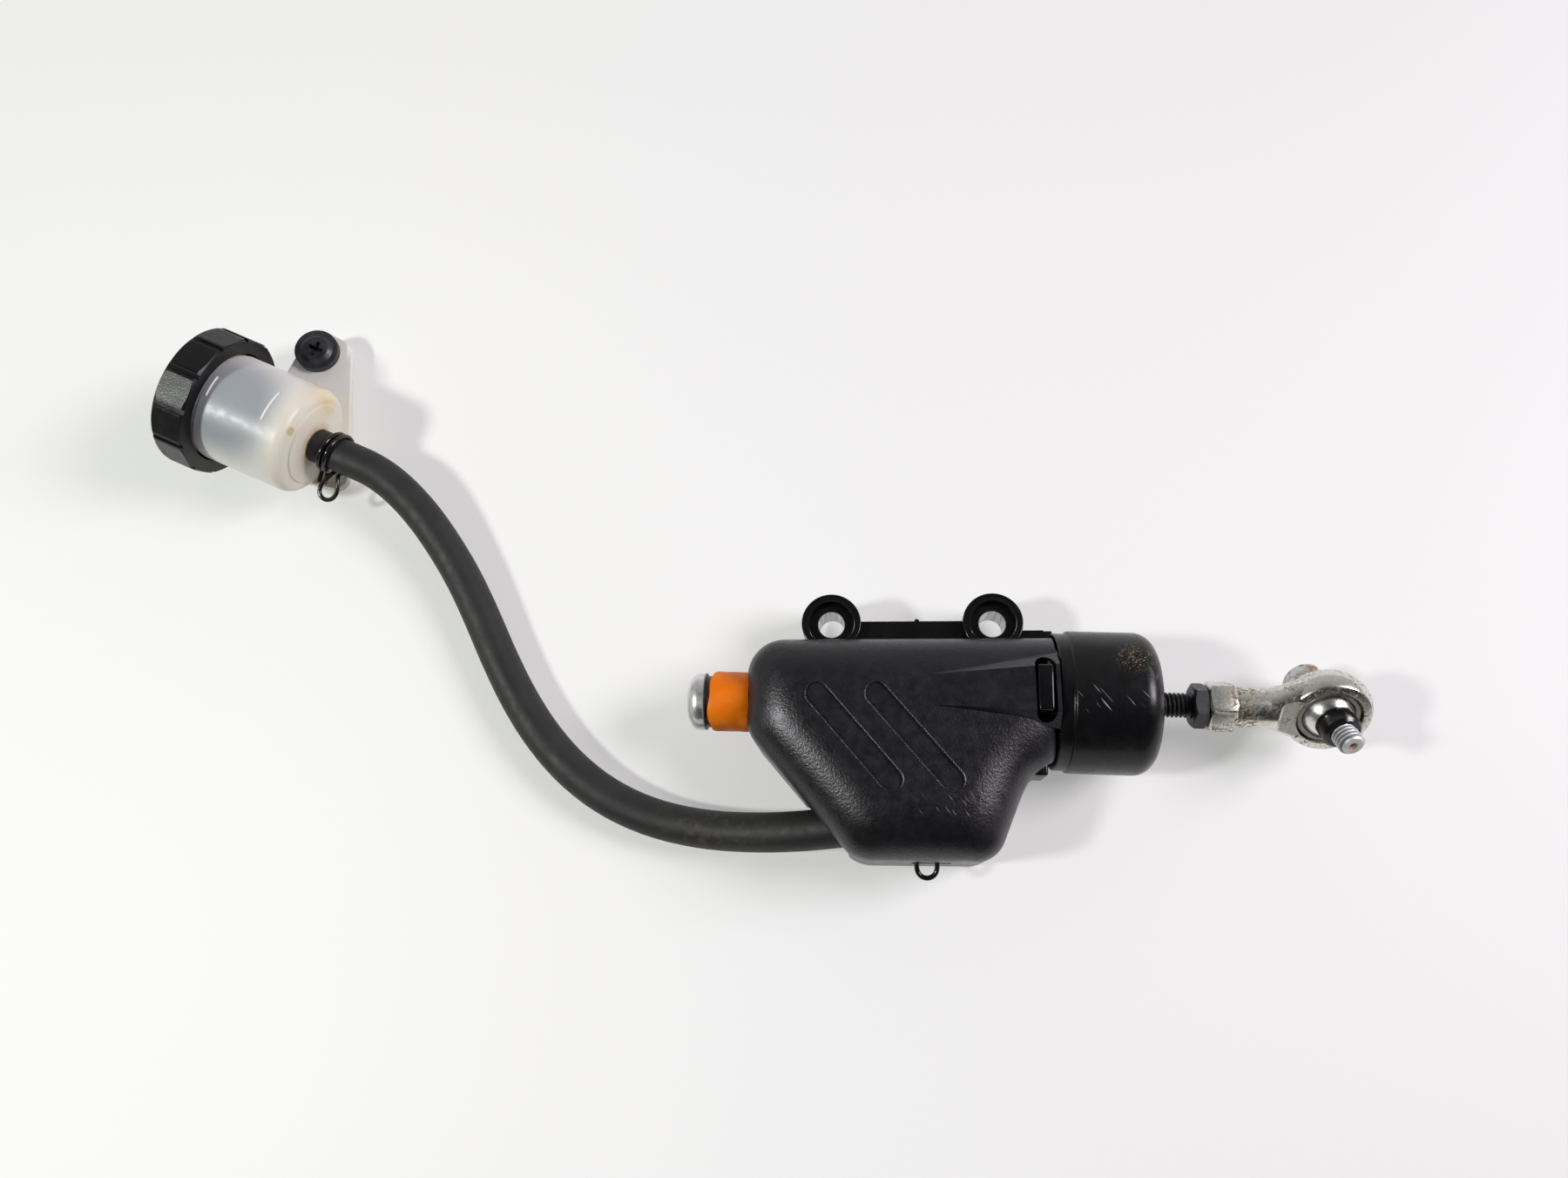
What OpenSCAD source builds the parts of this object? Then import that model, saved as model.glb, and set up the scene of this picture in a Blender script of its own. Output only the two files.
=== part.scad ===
// Rear brake master cylinder with its hose, remote reservoir and ball-jointed push rod.
// Millimetres. The origin lies midway between the two mounting holes, on the mounting face.
// +X runs along the cylinder towards the push rod, +Z away from the mounting face.

/* [Mounting] */
// Distance between the two mounting holes
hole_spacing = 40; // [38:1:46]
// Diameter of the mounting holes
hole_d = 6.5; // [5.5:0.1:7.5]
// Outer diameter of the mounting bosses
boss_d = 14.8; // [13:0.1:16]
// Height of the bosses above the mounting face
boss_h = 10.6; // [9:0.1:12]
// Diameter of the washer seat sunk in each boss
seat_d = 10.9; // [9:0.1:12]
// Depth of the washer seat
seat_depth = 2.1; // [0.5:0.1:3]
// Thickness of the web that carries the bosses
web_t = 6; // [4:0.5:7]
// Distance from the line of the holes to the cylinder axis
axis_offset = 20; // [19:0.5:23]
// Height of the cylinder axis above the mounting face
axis_height = 11; // [11:0.5:13]

/* [Cylinder] */
// Outer diameter of the barrel
barrel_d = 22; // [20.5:0.5:23]
// Diameter of the cylinder bore
bore_d = 12.7; // [12:0.1:13.2]
// Position of the inlet port along the cylinder
inlet_x = 14; // [12:0.5:15]
// Stroke of the piston
stroke = 9; // [6:0.5:9]
// Length of the barrel from the holes' centre to the outlet end
barrel_left = 35.4; // [34.4:0.2:37]
// Length of the outlet neck
neck_len = 10.6; // [10:0.2:12]
// Diameter of the outlet neck
neck_d = 12.8; // [11.5:0.1:13.4]

/* [Cover] */
// Wall of the plastic cover
cover_wall = 2; // [1.6:0.1:2.4]
// Space between the barrel and the inside of the cover
cover_gap = 2; // [1.8:0.1:3]
// Length of the cover from the holes' centre to the end cap
cover_right = 32.5; // [31.5:0.5:33.5]
// Radius of the cover's rounded edges
cover_round = 9; // [7:0.5:10]
// Distance from the cylinder axis to the cover's lower edge
lobe_drop = 38; // [37.5:0.5:42]
// Depth of the oblong recesses in the cover
recess_depth = 0.5; // [0.2:0.1:1]
// Width of the oblong recesses
recess_w = 5.4; // [3:0.2:7]
// Length of the oblong recesses between the centres of their round ends
recess_len = 26; // [18:1:28]

/* [End cap] */
// Outer diameter of the end cap
cap_d = 34; // [33.4:0.2:36]
// Overall length of the end cap
cap_len = 23.6; // [23:0.2:27]
// Radius of the end cap's rounded end
cap_round = 5; // [4:0.5:7]
// Diameter of the opening for the push rod
cap_hole_d = 16.4; // [16:0.2:19]

/* [Push rod] */
// Diameter of the push rod
rod_d = 6; // [5:0.1:6.2]
// Distance from the ball seat to the centre of the eye
eye_reach = 64.5; // [64:0.5:70]
// Sideways lean of the push rod as it lies
rod_lean = -1.7; // [-2:0.1:2]
// Roll of the eye about the push rod
eye_roll = 50; // [0:1:90]
// Outer diameter of the eye
eye_d = 20.6; // [19:0.2:24]
// Width of the eye
eye_w = 6.8; // [6:0.1:7.4]
// Diameter of the ball
ball_d = 12.7; // [12:0.1:13.4]
// Lean of the ball in the eye as it lies
ball_lean = 9; // [-9:1:9]
// Length of the free thread beyond the spacer
thread_len = 4.2; // [3:0.2:12]

/* [Hose and reservoir] */
// Distance along the cylinder from the mounting holes' middle back to the reservoir's bottom
res_away = 161.2; // [150:0.2:200]
// Distance across the cylinder from the line of the mounting holes to the reservoir's bottom
res_aside = 51.5; // [40:0.5:75]
// Outer diameter of the hose
hose_d = 9.6; // [9:0.2:10.2]
// Wire diameter of the hose clamps
wire_d = 1.2; // [0.9:0.1:1.4]
// Outer diameter of the reservoir
res_d = 30.2; // [28:0.2:31]
// Height of the reservoir below its cap
res_h = 26; // [24:0.5:30]
// Wall of the reservoir
res_wall = 1.8; // [1.4:0.1:2.4]
// Outer diameter of the screw cap
lid_d = 39.4; // [38:0.2:40]
// Height of the screw cap
lid_h = 9.1; // [8.6:0.1:12]
// Number of flat pads round the screw cap
lid_pads = 12; // [8:1:12]

/* [Hidden] */
$fn = 64;
hull_fn = 32;
eps = 0.01;
// Radial play of a running fit, and the gap between pieces that only stand beside each other
fit = 0.05;
gap = 0.3;
// Reach of a cut that runs out of the part
cut_reach = 60;
whole_turn = 360;

// Frame of the cylinder
axis_y = -axis_offset;
axis_z = axis_height;
barrel_r = barrel_d / 2;
bore_r = bore_d / 2;

// Stations along the cylinder axis, from the inlet port outwards
vent_x = inlet_x - 3.2;
feed_x = inlet_x + 3;
port_hole_d = 1.6;
vent_hole_d = 0.8;
primary_x = vent_x + 0.9;
cup_len = 2.8;
land_len = 1.4;
crown_len = 1.2;
guide_len = 4;
guide_r = 3.2;
crown_x = primary_x - crown_len;
secondary_x = feed_x + port_hole_d / 2 + land_len + stroke + 0.8;
secondary_len = 2.5;
ball_seat_r = 4;
seat_x = secondary_x + secondary_len + 0.5;
piston_end = seat_x + 3.2;
washer_t = 1.2;
washer_hole_r = ball_seat_r - fit;
washer_x = piston_end + gap;
ring_t = 1;
ring_x = washer_x + washer_t + fit;
mouth_x = ring_x + ring_t + 2.75;
spring_len = 32;
bore_end = crown_x - spring_len;
piston_r = bore_r - fit;
mouth_r = bore_r + 1.4;
ring_groove_r = mouth_r + 0.95;
flange_r = barrel_r + 3.5;
flange_x = cover_right + 1.9;
flange_t = 2.6;
barrel_bevel = 2;
outlet_r = 4.2;
outlet_depth = 10;
neck_end = -barrel_left - neck_len;

// Web and bosses
web_edge = 1;
web_left = hole_spacing / 2 + 6;
web_right = cover_right;
web_step = 2.5;
pip_r = 0.6;
web_z = 2;
boss_r = boss_d / 2;

// Inlet port, along -Y from the axis
port_r = 8.5;
port_len = 14;
pocket_r = 5.5;
pocket_floor = bore_r + 1.25;
clip_t = 1;
clip_from = port_len - 1.1 - clip_t;
clip_groove_r = pocket_r + 0.8;
elbow_r = 3.5;
elbow_bore = 2.2;
spigot_from = pocket_floor + 1;
seal_r = 0.9;
seal_back = 1.5;
seal_at = clip_from - seal_back;
hose_drop = 29;
bend_r = 6;
barb_r = 2.9;
barb_len = 14;
hose_r = hose_d / 2;
hose_bore = barb_r + 0.2;

// Cover, drawn in plan as rounded corners [x, y, radius]
table_z = axis_z - cap_d / 2;
cover_left = barrel_left + 4.6;
cover_half = barrel_r + cover_gap + cover_wall;
cover_top = axis_z + cover_half;
lobe_round = 7.2;
end_reach = 2;
end_swell = 1.5;
lobe_y = axis_y - lobe_drop;
block_y = axis_y + cover_half - 0.8;
block_corners = [
    [-cover_left + cover_round, block_y - cover_round, cover_round],
    [-cover_left + cover_round, axis_y - 5, cover_round],
    [cover_right + 1, block_y - cover_round, cover_round],
    [cover_right + end_reach - cover_round, axis_y - cover_half - end_swell + cover_round, cover_round]];
lobe_corners = [
    [-cover_left + cover_round, axis_y - 5, cover_round],
    [-10.3, lobe_y + cover_round, cover_round],
    [13.2, lobe_y + lobe_round, lobe_round],
    [20.5, axis_y - 13, lobe_round],
    [18, axis_y, lobe_round]];
recess_angle = -49.5;
recess_start = [-22.8, axis_y - 0.8];
recess_pitch = 13.8;
ramp_left = 3.8;
ramp_over = 0.4;
ramp_rise = cap_d / 2 - cover_half + ramp_over;
ramp_half_left = 3.6;
ramp_half_right = 5.8;
ramp_draft = 0.7;
window_x = cover_right - 5.3;
window_len = 4;
window_w = 15;
notch_r = 8.3;
gate_y = axis_y - hose_drop - 1;
gate_left = 30;
gate_len = 25;
gate_z = axis_z - 2;
gate_r = hose_r + 1.2;
loop_x = 2.5;

// End cap and its hooks
cap_r = cap_d / 2;
collar_r = cap_r - 0.6;
collar_len = 3.2;
cap_from = cover_right + gap;
cap_wall = 2;
hook_w = 10.6;
hook_len = 3.2;
hook_t = 1.4;
hook_r = barrel_r + gap;
hook_x = window_x + 0.5;
hook_step = 1.4;
hook_angles = [0, 90];
hook_heights = [cover_half + 2.3, cover_half + 3.4];

// The inside of the cover runs straight out of its open end, clear of the hooks' tongues
block_inside = [block_corners[0], block_corners[1],
    [cover_right + cover_round, block_y - cover_round, cover_round],
    [cover_right + cover_round, axis_y - hook_r - hook_t - gap + cover_round - cover_wall, cover_round]];

// Dust boot
boot_skirt_t = 1.5;
boot_skirt_len = 3;
boot_wall = 1.2;
boot_folds = 2;
boot_wave = 1.5;
boot_taper = 2;
boot_lead = 1.8;
boot_pitch = 1.5;
boot_len = 10.8;
boot_grip = 1.2;
boot_lip_t = 1.7;
boot_lap = 2.3;
boot_under = 0.5;
lip_back = 0.8;
lip_len = 3;
lip_t = 2.05;

// Outlet plug and sleeve
plug_r = neck_d / 2;
plug_len = 9.1;
dome_len = 3.4;
plug_shank = 7;
sleeve_t = 1;
sleeve_show = 3.5;

// Rod end, in the frame of the push rod
shank_r = 4.75;
hex_af = 11;
hex_len = 6.2;
nut_af = 9.5;
nut_t = 3.5;
eye_neck = 27.5;
eye_mouth = eye_reach - eye_neck;
rod_inside = 14;
rod_len = eye_mouth + rod_inside;
rod_r = rod_d / 2;
race_r = 7.5;
eye_crown = 1.5;
fairing_from = 12;
fairing_lead = 0.5;
fairing_to = 6;
fairing_end = 1;
fairing_w = 14.8;
fairing_t = eye_w - 0.6;
shank_lap = 0.6;
race_w = 6;
ball_w = 9;
ball_r = ball_d / 2;
pin_r = 3;
// The plain thread stands at its pitch radius
thread_r = pin_r - 0.3;
spacer_r = 4.5;
spacer_t = 4.2;
spacer_neck = 0.8;
shoulder_r = 4;
shoulder_t = 3.3;
head_r = 4.7;
head_t = 4.4;
socket_af = 4;
socket_depth = 2.6;
side_play = 0.15;
thread_from = ball_w / 2 + side_play + spacer_t;
bolt_tip = thread_from + thread_len;
relief_in = 0.4;
relief_out = 0.3;
relief_r = thread_r - 0.3;
tip_bevel = 0.8;

// Reservoir, in a frame with its origin on the bottom face and +Z towards the cap
res_drop = 1;
res_pos = [-res_away, res_aside, axis_z - res_drop];
res_heading = 157.3;
res_pitch = 82.3;
res_r = res_d / 2;
res_bottom = 2;
res_round = 3;
res_neck_r = res_r - 0.3;
nipple_len = 12;
nipple_r = barb_r;
nipple_bore = 1.8;
ear_t = 3;
ear_x = res_r - ear_t - 0.5;
ear_corners = [[-28.2, 18.6, 5.9], [-28.6, 15.2, 5.3], [4.2, -3.9, 3.2], [4, 12, 6], [-9, 19, 5.5]];
ear_hole = [-27.4, 19.1];
ear_hole_r = 3.3;
ear_screw_r = 3;
ear_screw_len = 5.6;
ear_head_r = 6.1;
ear_head_t = 2.2;
cross_w = 1.2;
cross_len = 4.4;
cross_depth = 1.2;
lid_r = lid_d / 2;
lid_top_t = 2;
lid_inner_r = res_neck_r + 0.9;
lid_flat = 0.35;
lid_groove_w = 1.4;
lid_groove_depth = 0.7;
lid_edge = 1.2;
rubber_t = 1.2;
slip_t = 0.6;
lid_gap = 0.1;
neck_h = lid_h - lid_top_t - slip_t - rubber_t - 3 * lid_gap;
flange_from = res_h + neck_h;
slip_r = lid_inner_r - gap;
cup_r = res_r - res_wall - 1;
cup_depth = 11;
cup_t = 1;

// Route of the hose's middle line, from the reservoir to the elbow
hose_tail = 11;
hose_start = 0.5;
hose_sides = 12;
hose_end_x = inlet_x - bend_r - hose_start;
hose_y = axis_y - hose_drop;
// Chosen points: shares of the way from the elbow to the reservoir along X and along Y, and the height
hose_free = [[0.901, 0.931, 7], [0.862, 0.884, 5], [0.824, 0.816, 3], [0.788, 0.736, 1.4], [0.753, 0.645, 0.2],
    [0.72, 0.543, -0.6], [0.688, 0.434, -1], [0.651, 0.326, -1], [0.609, 0.225, -1], [0.558, 0.135, -1],
    [0.497, 0.064, -1], [0.426, 0.014, -0.6], [0.35, -0.012, 0.8], [0.276, -0.02, 3.4], [0.205, -0.018, 7],
    [0.145, -0.008, 9.6]];

// Clamp of doubled wire: a loop at one end, two straight ends at the other, wound past each other
clamp_sweep = 374;
clamp_steps = 20;
clamp_space = 0.85;
clamp_lead = 3.6;
loop_len = 7.4;
loop_half = 2.4;
end_len = 4;
wire_sides = 6;
wind_r = hose_r + wire_d / 2 + fit;
clamp_at = 6.4;

// Return spring
spring_wire = 1.2;
spring_r = 4.4;
spring_turns = 8;
rings_per_turn = 8;

function unit(v) = v / norm(v);
function across(v, t) = unit(v - (v * t) * t);
function tangents(path) = [for (i = [0:len(path) - 1])
    unit(path[min(i + 1, len(path) - 1)] - path[max(i - 1, 0)])];
function normals(t, start) = [for (i = 0, n = across(start, t[0]); i < len(t);
    i = i + 1, n = i < len(t) ? across(n, t[i]) : n) n];
function ring(p, n, b, r, sides) = [for (j = [0:sides - 1])
    p + r * (cos(360 * j / sides) * n + sin(360 * j / sides) * b)];
function rings(path, r, sides, start) = let (t = tangents(path), n = normals(t, start))
    [for (i = [0:len(path) - 1]) each ring(path[i], n[i], cross(t[i], n[i]), r, sides)];
function side_faces(count, sides, from, outward) = [for (i = [0:count - 2], j = [0:sides - 1])
    let (a = from + i * sides + j, b = from + i * sides + (j + 1) % sides, c = b + sides, d = a + sides)
    each outward ? [[a, d, c], [a, c, b]] : [[a, c, d], [a, b, c]]];
function span(from, count) = [for (i = [0:count - 1]) from + i];
function reverse(list) = [for (i = [len(list) - 1:-1:0]) list[i]];
function rounded(path) = [path[0], each [for (i = [0:len(path) - 2])
    each [0.75 * path[i] + 0.25 * path[i + 1], 0.25 * path[i] + 0.75 * path[i + 1]]], path[len(path) - 1]];
// Least clear distance between stretches of one wire that are not neighbours along it
function self_gap(path, d, skip) = min([for (i = [0:len(path) - 1], j = [i + skip:1:len(path) - 1])
    norm(path[i] - path[j])]) - d;
function arc(centre, r, from, to, steps) = [for (i = [0:steps])
    let (a = from + (to - from) * i / steps) centre + r * [cos(a), sin(a)]];
function polar(r, a, z) = [r * cos(a), r * sin(a), z];

// The doubled wire goes out along one end, round the hose, round the loop and back beside itself
function strand(i, side) = polar(wind_r, clamp_sweep * (i / clamp_steps - 1),
    clamp_lead * (0.5 - i / clamp_steps) + side * clamp_space);
loop_z = -clamp_lead / 2;
clamp_path = rounded([
    polar(wind_r + end_len, -clamp_sweep, -loop_z - clamp_space),
    each [for (i = [0:clamp_steps]) strand(i, -1)],
    polar(wind_r + loop_len / 2, 0, loop_z - loop_half),
    each [for (p = arc([wind_r + loop_len - loop_half, loop_z], loop_half, -90, 90, 6)) [p[0], 0, p[1]]],
    polar(wind_r + loop_len / 2, 0, loop_z + loop_half),
    each [for (i = [clamp_steps:-1:0]) strand(i, 1)],
    polar(wind_r + end_len, -clamp_sweep, -loop_z + clamp_space)]);
spring_path = [for (i = [0:spring_turns * rings_per_turn])
    let (a = 360 * i / rings_per_turn, s = i / (spring_turns * rings_per_turn))
    [bore_end + spring_wire / 2 + s * (spring_len - spring_wire), spring_r * cos(a), spring_r * sin(a)]];
echo(clamp_self_gap = self_gap(clamp_path, wire_d, 8));
echo(spring_self_gap = self_gap(spring_path, spring_wire, rings_per_turn - 1));

module on_axis() translate([0, axis_y, axis_z]) children();
module on_port() translate([inlet_x, axis_y, axis_z]) rotate([90, 0, 0]) children();
module on_rod() translate([seat_x, axis_y, axis_z]) rotate([0, 0, rod_lean]) children();
module on_eye() on_rod() translate([eye_reach, 0, 0]) rotate([eye_roll, 0, 0]) children();
module on_bolt() on_eye() rotate([0, ball_lean, 0]) children();
module on_reservoir() translate(res_pos) rotate([0, res_pitch, res_heading]) children();
module along_x() rotate([0, 90, 0]) children();
// A solid of revolution about X from points [x, radius]
module turned(profile) along_x() rotate_extrude() polygon([for (p = profile) [p[1], p[0]]]);
module rod_x(from, to, r) translate([from, 0, 0]) along_x() cylinder(r = r, h = to - from);
module hex_x(from, to, af) translate([from, 0, 0]) along_x() rotate([0, 0, 30])
    cylinder(r = af / 2 / cos(30), h = to - from, $fn = 6);
// A hexagon whose corners are turned off at 30 degrees at both ends
module bevelled_hex(from, to, af) {
    face_r = 0.47 * af;
    clear_r = 0.6 * af;
    bevel = (clear_r - face_r) * tan(30);
    intersection() {
        hex_x(from, to, af);
        turned([[from, 0], [from, face_r], [from + bevel, clear_r], [to - bevel, clear_r], [to, face_r], [to, 0]]);
    }
}
module slot(length, w, h) {
    translate([0, -w / 2, 0]) cube([length, w, h]);
    for (x = [0, length]) translate([x, 0, 0]) cylinder(d = w, h = h);
}
module wire(path, r, start) {
    count = len(path);
    polyhedron(rings(path, r, wire_sides, start), concat(side_faces(count, wire_sides, 0, true),
        [span(0, wire_sides), reverse(span((count - 1) * wire_sides, wire_sides))]));
}
// Outline of a plate round convex corner circles [y, z, radius], with straight sides touching them
function side_turn(a, b) = let (line = [b[0] - a[0], b[1] - a[1]])
    atan2(line[1], line[0]) - acos((a[2] - b[2]) / norm(line));
module corner_plate(corners) {
    count = len(corners);
    polygon([for (i = [0:count - 1])
        let (c = corners[i], from = side_turn(corners[(i + count - 1) % count], c),
            swept = (side_turn(c, corners[(i + 1) % count]) - from + 2 * whole_turn) % whole_turn)
        each arc([c[0], c[1]], c[2], from, from + swept, 8)]);
}

module cylinder_body() color("#2b2b2d") difference() {
    union() {
        on_axis() turned([[-barrel_left, 0], [-barrel_left, barrel_r - barrel_bevel],
            [-barrel_left + barrel_bevel, barrel_r], [mouth_x, barrel_r], [mouth_x, 0]]);
        on_axis() rod_x(neck_end, -barrel_left + 1, neck_d / 2);
        on_axis() rod_x(flange_x, flange_x + flange_t, flange_r);
        on_port() cylinder(r = port_r, h = port_len);
        for (side = [-1, 1]) translate([side * hole_spacing / 2, 0, 0]) cylinder(d = boss_d, h = boss_h);
        translate([-web_left, axis_y, web_z])
            cube([web_left + hole_spacing / 2, axis_offset + web_edge, web_t]);
        translate([0, axis_y, web_z]) cube([web_right, axis_offset + web_edge - web_step, web_t]);
        translate([1.4, web_edge, web_z]) cylinder(r = pip_r, h = web_t);
    }
    for (side = [-1, 1]) translate([side * hole_spacing / 2, 0, 0]) {
        translate([0, 0, -1]) cylinder(d = hole_d, h = boss_h + 2);
        translate([0, 0, boss_h - seat_depth]) cylinder(d = seat_d, h = seat_depth + 1);
    }
    on_axis() {
        rod_x(bore_end, mouth_x + 1, bore_r);
        rod_x(washer_x, mouth_x + 1, mouth_r);
        rod_x(ring_x, ring_x + ring_t + fit, ring_groove_r);
        rod_x(neck_end - 1, neck_end + outlet_depth, outlet_r);
        rod_x(neck_end, bore_end + 1, port_hole_d);
    }
    on_port() {
        translate([0, 0, pocket_floor]) cylinder(r = pocket_r, h = port_len);
        translate([0, 0, clip_from]) cylinder(r = clip_groove_r, h = clip_t + fit);
        translate([vent_x - inlet_x, 0, 0]) cylinder(d = vent_hole_d, h = port_len);
        translate([feed_x - inlet_x, 0, 0]) cylinder(d = port_hole_d, h = port_len);
    }
}

// Rounded box over plan corners, shrunk all round by the inset
module pillow(corners, inset, bottom) hull() for (c = corners) translate([c[0], c[1], 0]) {
    translate([0, 0, cover_top - c[2]]) sphere(r = c[2] - inset, $fn = hull_fn);
    translate([0, 0, bottom]) cylinder(r = c[2] - inset, h = cover_top - c[2] - bottom, $fn = hull_fn);
}
module ramp() hull() {
    translate([ramp_left, axis_y - ramp_half_left, cover_top - 1])
        cube([0.1, 2 * ramp_half_left, 1]);
    translate([cover_right - 0.1, axis_y, cover_top - 1.5]) rotate([90, 0, 90]) linear_extrude(0.1)
        polygon([[-ramp_half_right - ramp_draft, 0], [ramp_half_right + ramp_draft, 0],
            [ramp_half_right, ramp_rise + 1.5], [-ramp_half_right, ramp_rise + 1.5]]);
}
module cover() color("#1d1d20") difference() {
    union() {
        pillow(block_corners, 0, table_z);
        pillow(lobe_corners, 0, table_z);
        ramp();
    }
    pillow(block_inside, cover_wall, table_z - 1);
    pillow(lobe_corners, cover_wall, table_z - 1);
    // The end next to the end cap is cut square
    translate([cover_right, axis_y - cut_reach, table_z - 1]) cube([cut_reach, 2 * cut_reach, cut_reach]);
    for (i = [0, 1]) translate([recess_start[0] + i * recess_pitch, recess_start[1], cover_top - recess_depth])
        rotate([0, 0, recess_angle]) slot(recess_len, recess_w, 5);
    // Windows for the hooks
    for (a = hook_angles) on_axis() rotate([a, 0, 0]) translate([window_x, 0, hook_r + hook_t])
        for (side = [-1, 1]) {
            translate([0, -window_w / 2 + window_len / 2, 0]) cube([window_len, window_w - window_len, 20]);
            translate([window_len / 2, side * (window_w - window_len) / 2, 0]) cylinder(d = window_len, h = 20);
        }
    // Way out for the outlet, the hose and the clamp's loop
    on_axis() rod_x(-cover_left - 1, -cover_left + 2 * cover_round, notch_r);
    translate([-cover_left - 1, axis_y - notch_r, table_z - 1])
        cube([2 * cover_round, 2 * notch_r, axis_z - table_z + 1]);
    translate([0, gate_y, gate_z]) rod_x(-gate_left, gate_len - gate_left, gate_r);
    translate([-gate_left, gate_y - gate_r, table_z - 1]) cube([gate_len, 2 * gate_r, gate_z + 1 - table_z]);
    translate([loop_x - loop_half - 1.2, lobe_y - 1, table_z - 1])
        cube([loop_half + clamp_lead + clamp_space + wire_d + 1.2, cover_wall + 3, axis_z + 2 - table_z]);
    // Room for the web and the bosses
    translate([-web_left - gap, axis_y + 8, table_z - 1])
        cube([web_left + cover_right + 10, axis_offset, web_z + web_t + gap - table_z + 1]);
    for (side = [-1, 1]) translate([side * hole_spacing / 2, 0, table_z - 1])
        cylinder(r = boss_r + gap, h = boss_h + gap - table_z + 1);
}

module end_cap() color("#232326") on_axis() {
    end_x = cap_from + cap_len;
    inner_r = cap_r - cap_wall;
    turned([[cap_from, collar_r], [cap_from + collar_len - 0.4, collar_r], [cap_from + collar_len, cap_r],
        each arc([end_x - cap_round, cap_r - cap_round], cap_round, 90, 0, 8),
        [end_x, cap_hole_d / 2], [end_x - cap_wall, cap_hole_d / 2],
        each arc([end_x - cap_round, cap_r - cap_round], cap_round - cap_wall, 0, 90, 8),
        [flange_x + flange_t + 0.2, inner_r], [flange_x + flange_t + 0.2, flange_r + fit],
        [cap_from, flange_r + fit]]);
    for (i = [0:len(hook_angles) - 1]) rotate([hook_angles[i], 0, 0]) {
        translate([cap_from, -hook_w / 2, hook_r]) cube([hook_step, hook_w, flange_r + 1 - hook_r]);
        translate([hook_x, -hook_w / 2, hook_r]) cube([cap_from + hook_step - hook_x, hook_w, hook_t]);
        translate([hook_x, -hook_w / 2, hook_r]) cube([hook_len, hook_w, hook_heights[i] - hook_r]);
    }
}

module dust_boot() color("#161616") {
    skirt_r = barrel_r + boot_skirt_t;
    inner_r = barrel_r + fit;
    // Each fold goes in and comes part of the way out again, and the next one stands further in
    fold = [[0, skirt_r, inner_r], [boot_skirt_len, skirt_r, inner_r],
        each [for (i = [0:boot_folds - 1], top = [0, 1])
            let (r = skirt_r - (2 - top) * boot_wave - i * boot_taper)
            [boot_skirt_len + boot_lead + (2 * i + top) * boot_pitch, r, r - boot_wall]],
        [boot_len, rod_r + boot_grip + boot_lip_t, rod_r + boot_grip]];
    from = mouth_x - boot_lap;
    on_axis() turned([for (p = fold) [from + p[0], p[1]], each reverse([for (i = [0:len(fold) - 1])
        [from + fold[i][0] - (i == 1 ? boot_under : 0), fold[i][2]]])]);
    // The lip grips the rod and leans with it
    lip_x = from + boot_len - lip_back - seat_x;
    on_rod() difference() {
        rod_x(lip_x, lip_x + lip_len, rod_r + lip_t);
        rod_x(lip_x - 1, lip_x + lip_len + 1, rod_r + fit);
    }
}

module outlet_plug() color("#b9bcc0") on_axis() turned([
    [neck_end + plug_shank, 0], [neck_end + plug_shank, outlet_r - fit], [neck_end, outlet_r - fit],
    [neck_end, plug_r], [neck_end - plug_len + dome_len, plug_r],
    each [for (a = [15:15:75]) [neck_end - plug_len + dome_len * (1 - sin(a)), plug_r * cos(a)]],
    [neck_end - plug_len, 0]]);

module plug_sleeve() color("#e06e0f") on_axis() {
    from = neck_end - sleeve_show;
    to = -cover_left + 0.4;
    difference() {
        rod_x(from, to, plug_r + fit + sleeve_t);
        rod_x(from - 1, to + 1, plug_r + fit);
    }
}

module inlet_elbow() color("#232323") on_port() difference() {
    lap = 0.4;
    union() {
        difference() {
            translate([0, 0, spigot_from]) cylinder(r = pocket_r - fit, h = clip_from - fit - spigot_from);
            translate([0, 0, seal_at - seal_r]) difference() {
                cylinder(r = pocket_r + 1, h = 2 * seal_r);
                cylinder(r = pocket_r - 2 * seal_r, h = 2 * seal_r);
            }
        }
        translate([0, 0, spigot_from]) cylinder(r = elbow_r, h = hose_drop - bend_r - spigot_from + lap);
        elbow_bend(elbow_r + 0.3);
        translate([-bend_r, 0, hose_drop]) rod_x(-barb_len, lap, barb_r);
    }
    translate([0, 0, spigot_from - 1]) cylinder(r = elbow_bore, h = hose_drop - bend_r - spigot_from + 1 + lap);
    elbow_bend(elbow_bore - 0.2);
    translate([-bend_r, 0, hose_drop]) rod_x(-barb_len - 1, lap, nipple_bore);
}
module elbow_bend(r) translate([-bend_r, 0, hose_drop - bend_r]) rotate([90, 0, 0])
    rotate_extrude(angle = 90) translate([bend_r, 0]) circle(r = r);
module elbow_o_ring() color("#101010") on_port() translate([0, 0, seal_at])
    rotate_extrude() translate([pocket_r - seal_r - fit, 0]) circle(r = seal_r - fit);
module elbow_clip() color("#8f9296") on_port() translate([0, 0, clip_from]) difference() {
    cylinder(r = clip_groove_r - fit, h = clip_t);
    translate([0, 0, -1]) cylinder(r = elbow_r + fit, h = clip_t + 2);
    translate([0, -1.5, -1]) cube([clip_groove_r + 1, 3, clip_t + 2]);
}

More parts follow.
